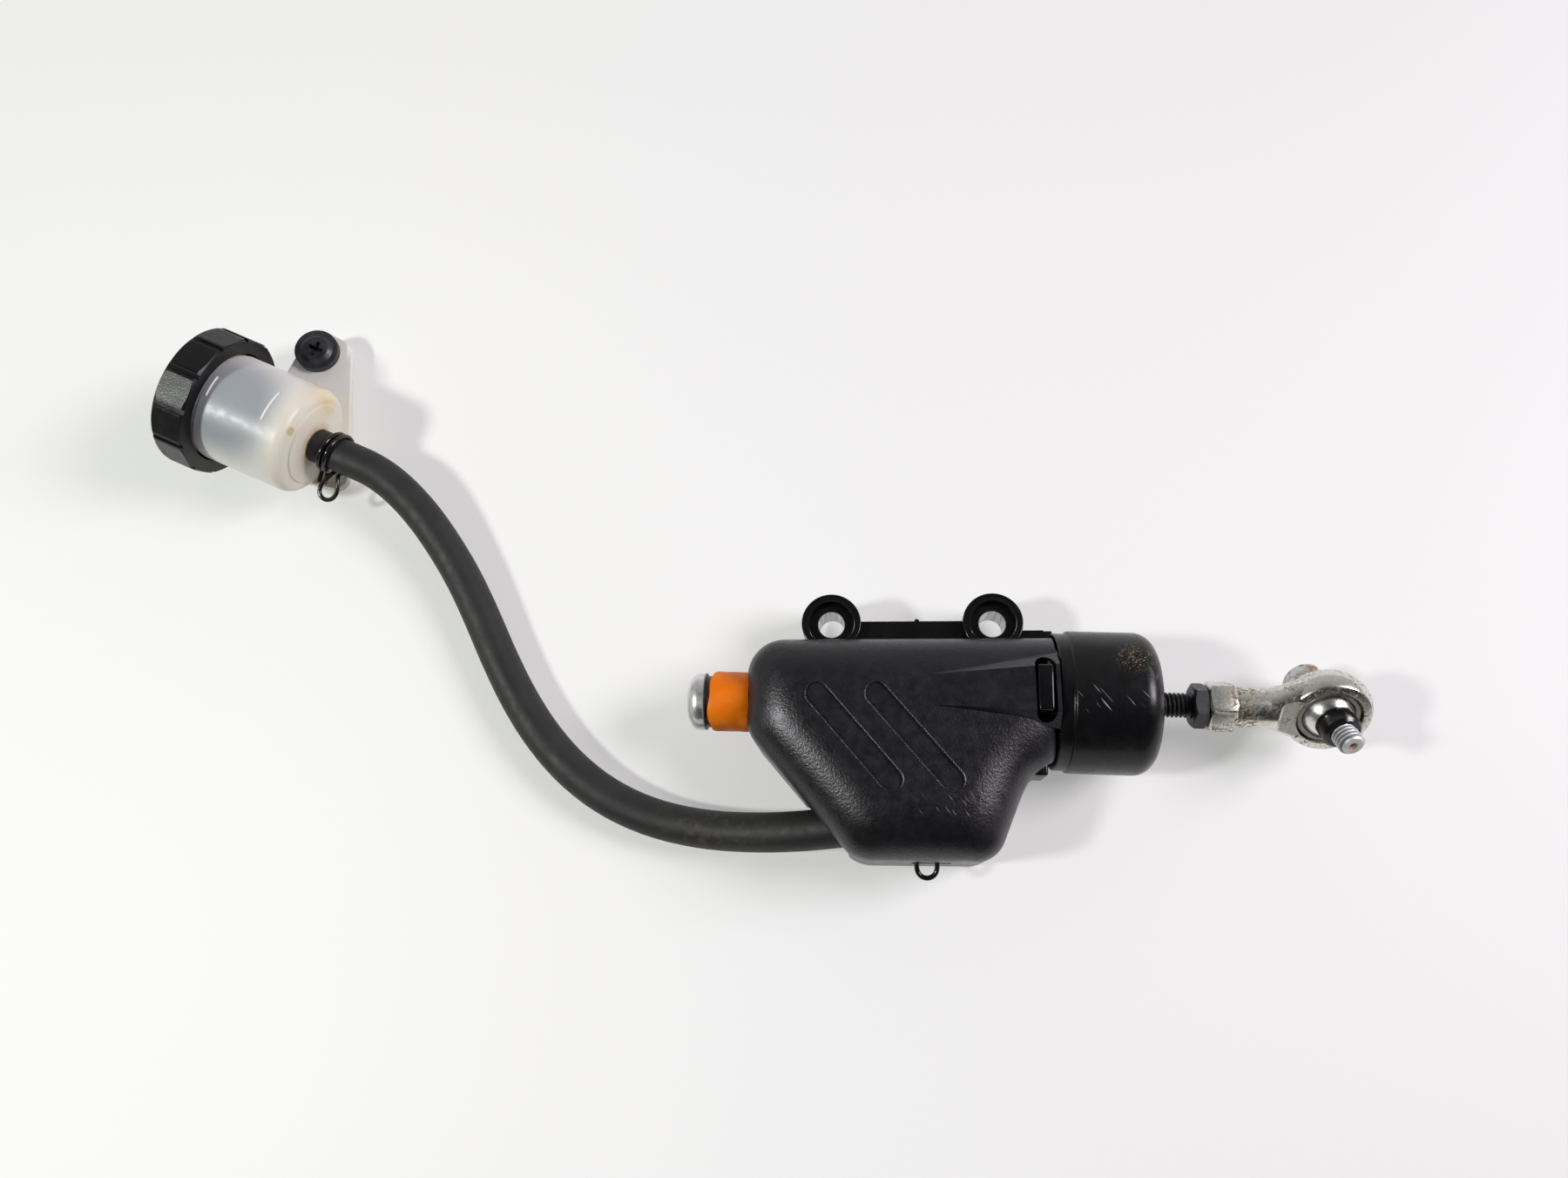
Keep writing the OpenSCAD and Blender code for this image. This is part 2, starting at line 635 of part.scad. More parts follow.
// Points of the hose: straight off the nipple, free, then straight on to the elbow
function to_world(p) = let (sp = sin(res_pitch), cp = cos(res_pitch), sh = sin(res_heading), ch = cos(res_heading))
    res_pos + [ch * (cp * p[0] + sp * p[2]) - sh * p[1], sh * (cp * p[0] + sp * p[2]) + ch * p[1],
        cp * p[2] - sp * p[0]];
hose_path = rounded([to_world([0, 0, -hose_start]), to_world([0, 0, -hose_tail]), each [for (p = hose_free)
        [hose_end_x - p[0] * (hose_end_x + res_away), hose_y + p[1] * (res_aside - hose_y), p[2]]],
    [inlet_x - bend_r - barb_len - 1, hose_y, axis_z], [hose_end_x, hose_y, axis_z]]);
module hose() color("#141414") {
    count = len(hose_path);
    last = (count - 1) * hose_sides;
    inside = count * hose_sides;
    bore = hose_bore / cos(180 / hose_sides);
    polyhedron(concat(rings(hose_path, hose_r, hose_sides, [0, 0, 1]), rings(hose_path, bore, hose_sides, [0, 0, 1])),
        concat(side_faces(count, hose_sides, 0, true), side_faces(count, hose_sides, inside, false),
        [for (j = [0:hose_sides - 1]) let (k = (j + 1) % hose_sides) each [
            [j, k, inside + k], [j, inside + k, inside + j],
            [last + j, last + inside + k, last + k], [last + j, last + inside + j, last + inside + k]]]));
}
module hose_clamp() wire(clamp_path, wire_d / 2, [0, 0, 1]);
module lower_hose_clamp() color("#0c0c0c") translate([loop_x - loop_z, axis_y - hose_drop, axis_z])
    along_x() rotate([0, 0, -75]) mirror([0, 1, 0]) hose_clamp();
module upper_hose_clamp() color("#0c0c0c") on_reservoir() translate([0, 0, -clamp_at])
    rotate([0, 0, 75]) hose_clamp();

module reservoir() color("#d9d4c4", 0.8) on_reservoir() {
    difference() {
        union() {
            rotate([0, 0, 180]) rotate_extrude() polygon([[0, 0],
                each arc([res_r - res_round, res_round], res_round, -90, 0, 6),
                [res_r, res_h - gap], [res_neck_r, res_h - gap], [res_neck_r, flange_from], [0, flange_from]]);
            translate([ear_x, 0, 0]) rotate([90, 0, 90]) linear_extrude(ear_t) corner_plate(ear_corners);
            translate([0, 0, -nipple_len]) cylinder(r = nipple_r, h = nipple_len + 1);
        }
        rotate([0, 0, 180]) rotate_extrude() polygon([[0, res_bottom],
            each arc([res_r - res_round, res_round], res_round - res_wall, -90, 0, 4),
            [res_r - res_wall, flange_from + 1], [0, flange_from + 1]]);
        translate([0, 0, -nipple_len - 1]) cylinder(r = nipple_bore, h = nipple_len + res_bottom + 2);
        translate([ear_x - 1, ear_hole[0], ear_hole[1]]) along_x() cylinder(r = ear_hole_r, h = ear_t + 2);
    }
}
module reservoir_cap() color("#121212") on_reservoir() translate([0, 0, res_h]) difference() {
    intersection() {
        cylinder(r = (lid_r - lid_flat) / cos(180 / lid_pads), h = lid_h, $fn = lid_pads);
        rotate_extrude() polygon([[0, 0], [lid_r - lid_edge / 2, 0], [lid_r, lid_edge / 2],
            each arc([lid_r - lid_edge, lid_h - lid_edge], lid_edge, 0, 90, 4), [0, lid_h]]);
    }
    for (i = [0:lid_pads - 1]) rotate([0, 0, 360 * i / lid_pads])
        translate([lid_r - lid_groove_depth, -lid_groove_w / 2, -1]) cube([3, lid_groove_w, lid_h + 2]);
    translate([0, 0, -1]) cylinder(r = lid_inner_r, h = lid_h - lid_top_t + 1);
}
module slip_ring() color("#e8e6df") on_reservoir()
    translate([0, 0, res_h + lid_h - lid_top_t - lid_gap - slip_t]) difference() {
        cylinder(r = slip_r, h = slip_t);
        translate([0, 0, -1]) cylinder(r = slip_r - 4, h = slip_t + 2);
    }
module diaphragm() color("#1a1a1a") on_reservoir() translate([0, 0, flange_from]) rotate_extrude()
    polygon([[cup_r, 0], [res_neck_r, 0], [res_neck_r, rubber_t], [cup_r - cup_t, rubber_t],
        [cup_r - cup_t - 1.5, -cup_depth / 2], [cup_r - cup_t - 1, -cup_depth], [0, -cup_depth + 2],
        [0, -cup_depth + 2 - cup_t], [cup_r - 1, -cup_depth - cup_t], [cup_r - 1.5, -cup_depth / 2]]);
module reservoir_screw() color("#0f0f0f") on_reservoir()
    translate([ear_x, ear_hole[0], ear_hole[1]]) along_x() difference() {
        union() {
            cylinder(r = ear_screw_r, h = ear_screw_len);
            translate([0, 0, -ear_head_t]) cylinder(r = ear_head_r, h = ear_head_t);
            translate([0, 0, -ear_head_t - 0.8]) cylinder(r1 = ear_head_r - 2.6, r2 = ear_head_r - 1.4, h = 0.8);
        }
        for (a = [0, 90]) rotate([0, 0, a]) translate([-cross_len / 2, -cross_w / 2, -ear_head_t - 1])
            cube([cross_len, cross_w, cross_depth + 1]);
    }

module piston() color("#a9acb0") on_axis() difference() {
    turned([[crown_x - guide_len, 0], [crown_x - guide_len, guide_r], [crown_x, guide_r], [crown_x, piston_r],
        [primary_x, piston_r], [primary_x, bore_r - 2.2], [primary_x + cup_len, bore_r - 2.2],
        [primary_x + cup_len, piston_r], [primary_x + cup_len + land_len, piston_r],
        [primary_x + cup_len + land_len, bore_r - 1.9], [secondary_x - land_len, bore_r - 1.9],
        [secondary_x - land_len, piston_r], [secondary_x, piston_r], [secondary_x, bore_r - 1.4],
        [secondary_x + secondary_len, bore_r - 1.4], [secondary_x + secondary_len, piston_r],
        [piston_end, piston_r], [piston_end, 0]]);
    translate([seat_x, 0, 0]) sphere(r = ball_seat_r + fit);
    rod_x(seat_x, piston_end + 1, ball_seat_r + fit);
}
// Lip seal whose lip opens towards the pressure side
module lip_cup(from, length, inner_r) on_axis() turned([
    [from + fit, bore_r - fit], [from + length - fit, bore_r - fit - 0.3], [from + length - fit, inner_r],
    [from + fit, inner_r], [from + fit, inner_r + 0.3], [from + length * 0.5, (inner_r + bore_r) / 2],
    [from + fit, bore_r - 0.5]]);
module primary_cup() color("#1b1b1b") lip_cup(primary_x, cup_len, bore_r - 2.2);
module secondary_cup() color("#1b1b1b") lip_cup(secondary_x, secondary_len, bore_r - 1.4);
module return_spring() color("#9da0a4") on_axis() wire(spring_path, spring_wire / 2, [1, 0, 0]);
module stop_washer() color("#c0c2c4") on_axis() difference() {
    rod_x(washer_x, washer_x + washer_t, mouth_r - fit);
    rod_x(washer_x - 1, washer_x + washer_t + 1, washer_hole_r);
}
module snap_ring() color("#77797c") on_axis() difference() {
    rod_x(ring_x, ring_x + ring_t, ring_groove_r - fit);
    rod_x(ring_x - 1, ring_x + ring_t + 1, mouth_r - 1.2);
    translate([ring_x - 1, -2, 0]) cube([ring_t + 2, 4, ring_groove_r]);
}

module pushrod() color("#1c1c1e") on_rod() {
    along_x() sphere(r = ball_seat_r);
    rod_x(0, rod_len, rod_r);
}
module lock_nut() color("#202023") on_rod() difference() {
    bevelled_hex(eye_mouth - nut_t, eye_mouth, nut_af);
    rod_x(eye_mouth - nut_t - 1, eye_mouth + 1, rod_r + fit);
}
module rod_end() color("#b5b3a8") difference() {
    union() {
        on_rod() rotate([eye_roll, 0, 0]) {
            bevelled_hex(eye_mouth, eye_mouth + hex_len, hex_af);
            rod_x(eye_mouth + hex_len - shank_lap, eye_reach - race_r - shank_lap, shank_r);
            // Fairing from the round shank into the flat eye
            hull() {
                rod_x(eye_reach - fairing_from, eye_reach - fairing_from + fairing_lead, shank_r, $fn = hull_fn);
                translate([eye_reach - fairing_to, 0, 0]) cube([fairing_end, fairing_w, fairing_t], center = true);
            }
        }
        on_eye() rotate_extrude() polygon([[race_r - 1, -eye_w / 2],
            each [for (k = [-3:3]) [eye_d / 2 - eye_crown * pow(k / 3, 2), k / 3 * eye_w / 2]],
            [race_r - 1, eye_w / 2]]);
    }
    on_eye() cylinder(r = race_r, h = eye_w + 2, center = true);
    on_rod() rod_x(eye_mouth - 1, rod_len + 1, rod_r + fit);
}
module bearing_race() color("#8c8a80") on_eye() difference() {
    cylinder(r = race_r - 0.02, h = race_w, center = true);
    sphere(r = ball_r + fit);
}
module ball() color("#c9ccd0") on_bolt() difference() {
    intersection() {
        sphere(r = ball_r);
        cylinder(r = ball_r + 1, h = ball_w, center = true);
    }
    cylinder(r = pin_r + fit, h = ball_w + 2, center = true);
}
module pivot_bolt() color("#a7a9ab") on_bolt() {
    back = ball_w / 2 + side_play;
    translate([0, 0, -back - eps]) cylinder(r = pin_r, h = back + thread_from - relief_in + eps);
    // Relief groove where the thread runs out, from just inside the spacer
    translate([0, 0, thread_from - relief_in - eps])
        cylinder(r = relief_r, h = relief_in + relief_out + 2 * eps);
    translate([0, 0, thread_from + relief_out]) cylinder(r = thread_r, h = thread_len - tip_bevel - relief_out);
    translate([0, 0, bolt_tip - tip_bevel]) cylinder(r1 = thread_r, r2 = thread_r - tip_bevel, h = tip_bevel);
    translate([0, 0, -back - shoulder_t]) cylinder(r = shoulder_r, h = shoulder_t);
    translate([0, 0, -back - shoulder_t - head_t]) difference() {
        rotate_extrude() polygon([[0, 0], [head_r - 0.8, 0], [head_r, 0.8], [head_r, head_t - 0.4],
            [head_r - 0.4, head_t], [0, head_t]]);
        translate([0, 0, -1]) cylinder(r = socket_af / 2 / cos(30), h = socket_depth + 1, $fn = 6);
    }
}
module bolt_spacer() color("#0d0d0d") on_bolt() translate([0, 0, thread_from - spacer_t]) difference() {
    rotate_extrude() polygon([[0, 0], [spacer_r - spacer_neck, 0], [spacer_r - spacer_neck, spacer_neck],
        [spacer_r, spacer_neck], [spacer_r, spacer_t - 0.6], [spacer_r - 0.6, spacer_t], [0, spacer_t]]);
    translate([0, 0, -1]) cylinder(r = pin_r + fit, h = spacer_t + 2);
}

cylinder_body();
cover();
end_cap();
dust_boot();
outlet_plug();
plug_sleeve();
inlet_elbow();
elbow_o_ring();
elbow_clip();
hose();
lower_hose_clamp();
upper_hose_clamp();
reservoir();
reservoir_cap();
slip_ring();
diaphragm();
reservoir_screw();
piston();
primary_cup();
secondary_cup();
return_spring();
stop_washer();
snap_ring();
pushrod();
lock_nut();
rod_end();
bearing_race();
ball();
pivot_bolt();
bolt_spacer();
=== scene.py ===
"""Looks, light and camera for the rear brake master cylinder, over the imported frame."""
import math

import bmesh
import bpy
import numpy as np
from mathutils import Matrix, Vector


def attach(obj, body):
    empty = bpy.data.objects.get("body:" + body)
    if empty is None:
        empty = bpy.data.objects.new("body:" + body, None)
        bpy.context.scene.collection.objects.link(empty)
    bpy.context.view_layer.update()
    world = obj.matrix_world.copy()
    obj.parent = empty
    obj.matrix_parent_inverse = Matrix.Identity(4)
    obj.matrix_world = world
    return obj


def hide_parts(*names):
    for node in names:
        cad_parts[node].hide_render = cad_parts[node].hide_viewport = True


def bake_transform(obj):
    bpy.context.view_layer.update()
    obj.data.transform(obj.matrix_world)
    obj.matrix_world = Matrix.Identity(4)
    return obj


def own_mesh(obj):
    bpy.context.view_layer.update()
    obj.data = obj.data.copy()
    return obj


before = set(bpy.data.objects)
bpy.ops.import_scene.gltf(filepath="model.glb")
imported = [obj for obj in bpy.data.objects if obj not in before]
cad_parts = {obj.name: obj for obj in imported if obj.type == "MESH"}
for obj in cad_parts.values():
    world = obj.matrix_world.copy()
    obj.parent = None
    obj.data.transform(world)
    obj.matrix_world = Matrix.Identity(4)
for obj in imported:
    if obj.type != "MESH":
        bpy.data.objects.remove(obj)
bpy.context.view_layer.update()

# Sizes below are in millimetres and become metres as the meshes are made
MM = 0.001
scene = bpy.context.scene
scene.view_settings.view_transform = "Standard"


def turn(axis, degrees):
    return Matrix.Rotation(math.radians(degrees), 4, axis)


def shift(x, y, z):
    return Matrix.Translation((x, y, z))


def placed(name, data):
    """A new object in the scene."""
    obj = bpy.data.objects.new(name, data)
    scene.collection.objects.link(obj)
    return obj


def polar(radius, degrees, height):
    angle = math.radians(degrees)
    return Vector((radius * math.cos(angle), radius * math.sin(angle), height))


def softened(path, passes=2):
    """Cut the corners of a path, keeping its two ends."""
    for _ in range(passes):
        cut = [path[0]]
        for a, b in zip(path, path[1:]):
            cut.append(a * 0.75 + b * 0.25)
            cut.append(a * 0.25 + b * 0.75)
        cut.append(path[-1])
        path = cut
    return path


# Frames of the object's main parts
AXIS_Y = -20.0
AXIS_Z = 11.0
TABLE_Z = -6.0
BOSS_XS = (-20, 20)
SEAT_X = 32.0
ROD_YAW = -1.7
EYE_REACH = 64.5
EYE_ROLL = 50.0
BOLT_TILT = 9.0
RES_AT = (-161.2, 51.5, 10)
RES_YAW = 157.3
RES_LEAN = 82.3
ON_AXIS = shift(0, AXIS_Y, AXIS_Z)
ALONG_X = turn("Y", 90)
ON_ROD = shift(SEAT_X, AXIS_Y, AXIS_Z) @ turn("Z", ROD_YAW)
ON_ROLL = ON_ROD @ turn("X", EYE_ROLL)
ON_EYE = ON_ROD @ shift(EYE_REACH, 0, 0) @ turn("X", EYE_ROLL)
ON_BOLT = ON_EYE @ turn("Y", BOLT_TILT)
ON_RESERVOIR = shift(*RES_AT) @ turn("Z", RES_YAW) @ turn("Y", RES_LEAN)
# Takes an outline's X to Y, its Y to Z and its height to X
FACE_X = Matrix(((0, 0, 1, 0), (1, 0, 0, 0), (0, 1, 0, 0), (0, 0, 0, 1)))

# Camera of the photograph
CAMERA_AT = Vector((-11.283, -70.382, 273.861))
CAMERA_TURN = (16.7833, 4.249, 0.8079)
camera_data = bpy.data.cameras.new("photo_camera")
camera_data.sensor_width = 36.0
camera_data.lens = 25.0
camera_data.clip_start = 0.01
camera = placed("photo_camera", camera_data)
camera.location = CAMERA_AT * MM
camera.rotation_euler = [math.radians(angle) for angle in CAMERA_TURN]
scene.camera = camera

# Hose: straight off the reservoir's nipple, down to the table, round and up to the elbow in the cover
HOSE_R = 4.8
HOSE_STRAIGHT = 11
HOSE_FREE = (
    (-144.5, 44.6, 7), (-138, 39.8, 5), (-131.5, 33, 3), (-125.5, 25, 1.4), (-119.5, 15.8, 0.2),
    (-114, 5.6, -0.6), (-108.5, -5.4, -1), (-102.4, -16.2, -1), (-95.2, -26.4, -1), (-86.6, -35.4, -1),
    (-76.4, -42.6, -1), (-64.4, -47.6, -0.6), (-51.6, -50.2, 0.8), (-39, -51, 3.4), (-27, -50.8, 7),
    (-17, -49.8, 9.6), (-7, -49, 11), (7.5, -49, 11))
HOSE_EXIT = ON_RESERVOIR @ Vector((0, 0, -0.5))
hose_route = [HOSE_EXIT, ON_RESERVOIR @ Vector((0, 0, -HOSE_STRAIGHT))]
hose_route += [Vector(point) for point in HOSE_FREE]
hose_route = softened(hose_route)
hose_curve = bpy.data.curves.new("hose_curve", "CURVE")
hose_curve.dimensions = "3D"
hose_curve.bevel_depth = 1.0
hose_curve.bevel_resolution = 8
hose_curve.use_fill_caps = True
spline = hose_curve.splines.new("POLY")
spline.points.add(len(hose_route) - 1)
for point, place in zip(spline.points, hose_route):
    point.co = (*(place * MM), 1.0)
    point.radius = HOSE_R * MM
spline.use_smooth = True
hose = placed("feed_hose", hose_curve)
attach(hose, "cylinder")
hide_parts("hose")


# Mesh helpers
THREAD_PITCH = 1.0


def shade(obj, sharp=35):
    obj.data.shade_smooth()
    obj.data.set_sharp_from_angle(angle=math.radians(sharp))


def build(name, points, faces, place=Matrix(), sharp=35):
    """A mesh object with its faces turned outward."""
    mesh = bpy.data.meshes.new(name)
    mesh.from_pydata([(place @ Vector(point)) * MM for point in points], [], faces)
    mesh.validate()
    mesh_edit = bmesh.new()
    mesh_edit.from_mesh(mesh)
    bmesh.ops.recalc_face_normals(mesh_edit, faces=mesh_edit.faces)
    mesh_edit.to_mesh(mesh)
    mesh_edit.free()
    obj = placed(name, mesh)
    shade(obj, sharp)
    return obj


def skin(rings, loop=False):
    """Faces between neighbouring rings of point numbers. A ring of one point is a pole."""
    pairs = list(zip(rings, rings[1:]))
    if loop:
        pairs.append((rings[-1], rings[0]))
    faces = []
    for low, high in pairs:
        sides = max(len(low), len(high))
        for step in range(sides):
            after = (step + 1) % sides
            if len(low) == 1:
                faces.append((low[0], high[after], high[step]))
            elif len(high) == 1:
                faces.append((low[step], low[after], high[0]))
            else:
                faces.append((low[step], low[after], high[after], high[step]))
    return faces


def rows_of(count, levels):
    """Point numbers of equal rings, one after the other."""
    return [range(level * count, (level + 1) * count) for level in range(levels)]


def ridge(phase):
    """Height of a thread from 0 at its crest to 1 at its root."""
    return min(1.0, max(0.0, 2.4 * abs(phase % 1.0 - 0.5) - 0.1))


def lathe(name, profile, place, sides=96, loop=False):
    """Turn points (height, radius, thread depth) about Z. A loop joins the last point to the first."""
    points = []
    rings = []
    for height, radius, *thread in profile:
        if not radius:
            rings.append([len(points)])
            points.append((0, 0, height))
            continue
        depth = thread[0] if thread else 0.0
        rings.append(range(len(points), len(points) + sides))
        for step in range(sides):
            part = step / sides
            reach = radius - depth * ridge(height / THREAD_PITCH - part)
            points.append((reach * math.cos(math.tau * part), reach * math.sin(math.tau * part), height))
    return build(name, points, skin(rings, loop), place)


def arc(centre, radius, start, end, steps):
    """Points on an arc of a profile or an outline."""
    found = []
    for step in range(steps + 1):
        angle = math.radians(start + (end - start) * step / steps)
        found.append((centre[0] + radius * math.cos(angle), centre[1] + radius * math.sin(angle)))
    return found


def rod(low, high, radius):
    """Profile of a plain cylinder."""
    return [(low, 0), (low, radius), (high, radius), (high, 0)]


def tube(name, path, radius, place=Matrix(), sides=12):
    """A round wire along a path, with its two ends rounded off."""
    path = [place @ Vector(point) for point in path]
    side = (path[1] - path[0]).normalized().orthogonal().normalized()
    points = []
    last = len(path) - 1
    stations = [(0, radius * 0.2, -radius * 0.5), (0, radius * 0.8, -radius * 0.2)]
    stations += [(index, radius, 0.0) for index in range(len(path))]
    stations += [(last, radius * 0.8, radius * 0.2), (last, radius * 0.2, radius * 0.5)]
    for index, reach, extra in stations:
        heading = (path[min(index + 1, last)] - path[max(index - 1, 0)]).normalized()
        side = (side - heading * side.dot(heading)).normalized()
        other = heading.cross(side)
        for step in range(sides):
            angle = math.tau * step / sides
            spoke = side * math.cos(angle) + other * math.sin(angle)
            points.append(path[index] + heading * extra + spoke * reach)
    rings = rows_of(sides, len(stations))
    return build(name, points, [tuple(rings[0]), tuple(rings[-1])] + skin(rings), sharp=60)


def block(name, low, high, place=Matrix()):
    """A plain block between two corners."""
    points = [(x, y, z) for x in (low[0], high[0]) for y in (low[1], high[1]) for z in (low[2], high[2])]
    faces = [(0, 1, 3, 2), (4, 6, 7, 5), (0, 4, 5, 1), (2, 3, 7, 6), (0, 2, 6, 4), (1, 5, 7, 3)]
    return build(name, points, faces, place)


def prism(name, outline, low, high, place=Matrix(), inset=0.0):
    """An outline drawn up along Z. The inset tapers its lower end about each point's own normal."""
    count = len(outline)
    points = []
    for index, (x, y) in enumerate(outline):
        before = Vector(outline[index - 1])
        after = Vector(outline[(index + 1) % count])
        along = (after - before).normalized()
        points.append((x - along.y * inset, y + along.x * inset, low))
    points += [(x, y, high) for x, y in outline]
    rings = rows_of(count, 2)
    return build(name, points, [tuple(ring) for ring in rings] + skin(rings), place)


def hexagon(radius):
    return arc((0, 0), radius, 0, 300, 5)


def stadium(length, width):
    """Outline of a slot with round ends along X, anticlockwise."""
    return arc((length, 0), width / 2, -90, 90, 16) + arc((0, 0), width / 2, 90, 270, 16)


def arch(radius, drop):
    """Outline of a round-topped gate, anticlockwise from its lower right."""
    return [(radius, -drop)] + arc((0, 0), radius, 0, 180, 24) + [(-radius, -drop)]


def settle(obj):
    """Make the result of the modifiers the object's own mesh."""
    graph = bpy.context.evaluated_depsgraph_get()
    mesh = bpy.data.meshes.new_from_object(obj.evaluated_get(graph))
    obj.modifiers.clear()
    obj.data = mesh


def carve(obj, tools, operation="DIFFERENCE"):
    for tool in tools:
        modifier = obj.modifiers.new(tool.name, "BOOLEAN")
        modifier.operation = operation
        modifier.solver = "EXACT"
        modifier.object = tool
        settle(obj)
        bpy.data.objects.remove(tool)


def eased(obj, width, segments=3):
    """Round off the edges of a solid."""
    modifier = obj.modifiers.new("ease", "BEVEL")
    modifier.width = width * MM
    modifier.segments = segments
    settle(obj)
    return obj


def join(name, parts):
    """Lay several closed meshes into one object."""
    mesh_edit = bmesh.new()
    for part in parts:
        mesh_edit.from_mesh(part.data)
        bpy.data.objects.remove(part)
    mesh = bpy.data.meshes.new(name)
    mesh_edit.to_mesh(mesh)
    mesh_edit.free()
    return placed(name, mesh)


def fit(obj, body, nodes, slot, material=None):
    """Hand a finished piece to its body, its nodes and its material, by default the slot's own."""
    obj.data.materials.clear()
    obj.data.materials.append(material or made[slot])
    if body:
        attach(obj, body)
    if nodes:
        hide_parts(*nodes)


# Material helpers
class Nodes:
    """A node tree whose nodes are added one by one."""

    def __init__(self, tree):
        self.tree = tree

    def add(self, kind, inputs=None, **settings):
        node = self.tree.nodes.new(kind)
        for key, value in settings.items():
            setattr(node, key, value)
        for key, value in (inputs or {}).items():
            self.feed(node.inputs[key], value)
        return node

    def feed(self, socket, value):
        if isinstance(value, bpy.types.NodeSocket):
            self.tree.links.new(value, socket)
        else:
            socket.default_value = value

    def vector(self, operation, *values, result="Vector"):
        inputs = dict(enumerate(values))
        return self.add("ShaderNodeVectorMath", inputs, operation=operation).outputs[result]

    def times(self, a, b):
        return self.add("ShaderNodeMath", {0: a, 1: b}, operation="MULTIPLY").outputs["Value"]

    def most(self, a, b):
        return self.add("ShaderNodeMath", {0: a, 1: b}, operation="MAXIMUM").outputs["Value"]


class Graph(Nodes):
    """A principled material over object coordinates. Its masks run from 0 to 1."""

    def __init__(self, name, rough, metal=0.0):
        self.material = bpy.data.materials.new(name)
        self.material.use_nodes = True
        super().__init__(self.material.node_tree)
        self.shader = self.tree.nodes["Principled BSDF"]
        self.set(Roughness=rough, Metallic=metal)
        self.place = self.add("ShaderNodeTexCoord").outputs["Object"]

    def set(self, **sockets):
        for key, value in sockets.items():
            self.feed(self.shader.inputs[key.replace("_", " ")], value)

    def noise(self, scale, detail=4.0, rough=0.55, place=None):
        inputs = {"Vector": place or self.place, "Scale": scale, "Detail": detail, "Roughness": rough}
        return self.add("ShaderNodeTexNoise", inputs).outputs["Fac"]

    def stretched(self, angle, scale):
        """Object coordinates turned about Z and then scaled by axis, for brushed or scratched patterns."""
        inputs = {"Vector": self.place, "Rotation": (0, 0, math.radians(angle))}
        turned = self.add("ShaderNodeMapping", inputs).outputs["Vector"]
        return self.add("ShaderNodeMapping", {"Vector": turned, "Scale": scale}).outputs["Vector"]

    def step(self, value, low, high, before=0.0, after=1.0):
        inputs = {"Value": value, "From Min": low, "From Max": high, "To Min": before, "To Max": after}
        return self.add("ShaderNodeMapRange", inputs, interpolation_type="SMOOTHSTEP").outputs["Result"]

    def between(self, mask, before, after):
        return self.step(mask, 0.0, 1.0, before, after)

    def patchy(self, mask, grain, band):
        """A mask broken up by noise of a grain (scale, detail, roughness), cut at a band (low, high)."""
        return self.times(mask, self.step(self.noise(*grain), *band))

    def near(self, point, inner, outer):
        """1 within the inner distance of a point in millimetres, 0 beyond the outer one."""
        gap = self.vector("DISTANCE", self.place, Vector(point) * MM, result="Value")
        return self.step(gap, inner * MM, outer * MM, 1.0, 0.0)

    def past(self, axis, low, high, before=0.0, after=1.0):
        """A step between two distances along a frame's Z axis in millimetres."""
        away = self.vector("SUBTRACT", self.place, axis.translation * MM)
        along = self.vector("DOT_PRODUCT", away, axis.to_3x3().col[2], result="Value")
        return self.step(along, low * MM, high * MM, before, after)

    def inside(self, axis, inner, outer):
        """1 within the inner distance of a frame's Z axis in millimetres, 0 beyond the outer one."""
        away = self.vector("SUBTRACT", self.place, axis.translation * MM)
        side = self.vector("CROSS_PRODUCT", away, axis.to_3x3().col[2])
        gap = self.vector("LENGTH", side, result="Value")
        return self.step(gap, inner * MM, outer * MM, 1.0, 0.0)

    def mix(self, factor, a, b):
        node = self.add("ShaderNodeMix", data_type="RGBA")
        self.feed(node.inputs["Factor"], factor)
        for socket, value in zip([s for s in node.inputs if s.type == "RGBA"], (a, b)):
            self.feed(socket, value)
        return [s for s in node.outputs if s.type == "RGBA"][0]

    def paint(self, mask, dark, light):
        self.tone = self.mix(mask, dark, light)
        self.set(Base_Color=self.tone)

    def stain(self, mask, colour):
        """Lay a colour over the tone so far."""
        self.paint(mask, self.tone, colour)

    def bump(self, height, strength, distance):
        inputs = {"Height": height, "Strength": strength, "Distance": distance * MM}
        self.set(Normal=self.add("ShaderNodeBump", inputs).outputs["Normal"])


def rgb(red, green, blue):
    return (red, green, blue, 1.0)


# Materials by the record's slots, and two more for pieces that differ from theirs
made = {}


def plastic(slot, name, dark, light, rough, grain, height):
    """Moulded plastic: uneven tone, fine grain and roughness that varies over the surface."""
    graph = Graph(name, rough)
    made[slot] = graph.material
    graph.paint(graph.step(graph.noise(160, 5), 0.35, 0.7), dark, light)
    graph.set(Roughness=graph.step(graph.noise(420, 4), 0.2, 0.8, rough - 0.06, rough + 0.08))
    graph.bump(graph.noise(grain, 3, 0.6), 0.35, height)
    return graph


def metal(name, dark, light, rough, grain):
    """Worked metal: the same, finer and with less grain."""
    graph = Graph(name, rough, 1.0)
    made[name] = graph.material
    graph.paint(graph.step(graph.noise(300, 5), 0.3, 0.7), dark, light)
    graph.set(Roughness=graph.step(graph.noise(900, 4), 0.2, 0.8, rough - 0.06, rough + 0.1))
    graph.bump(graph.noise(grain, 3), 0.2, 0.03)
    return graph


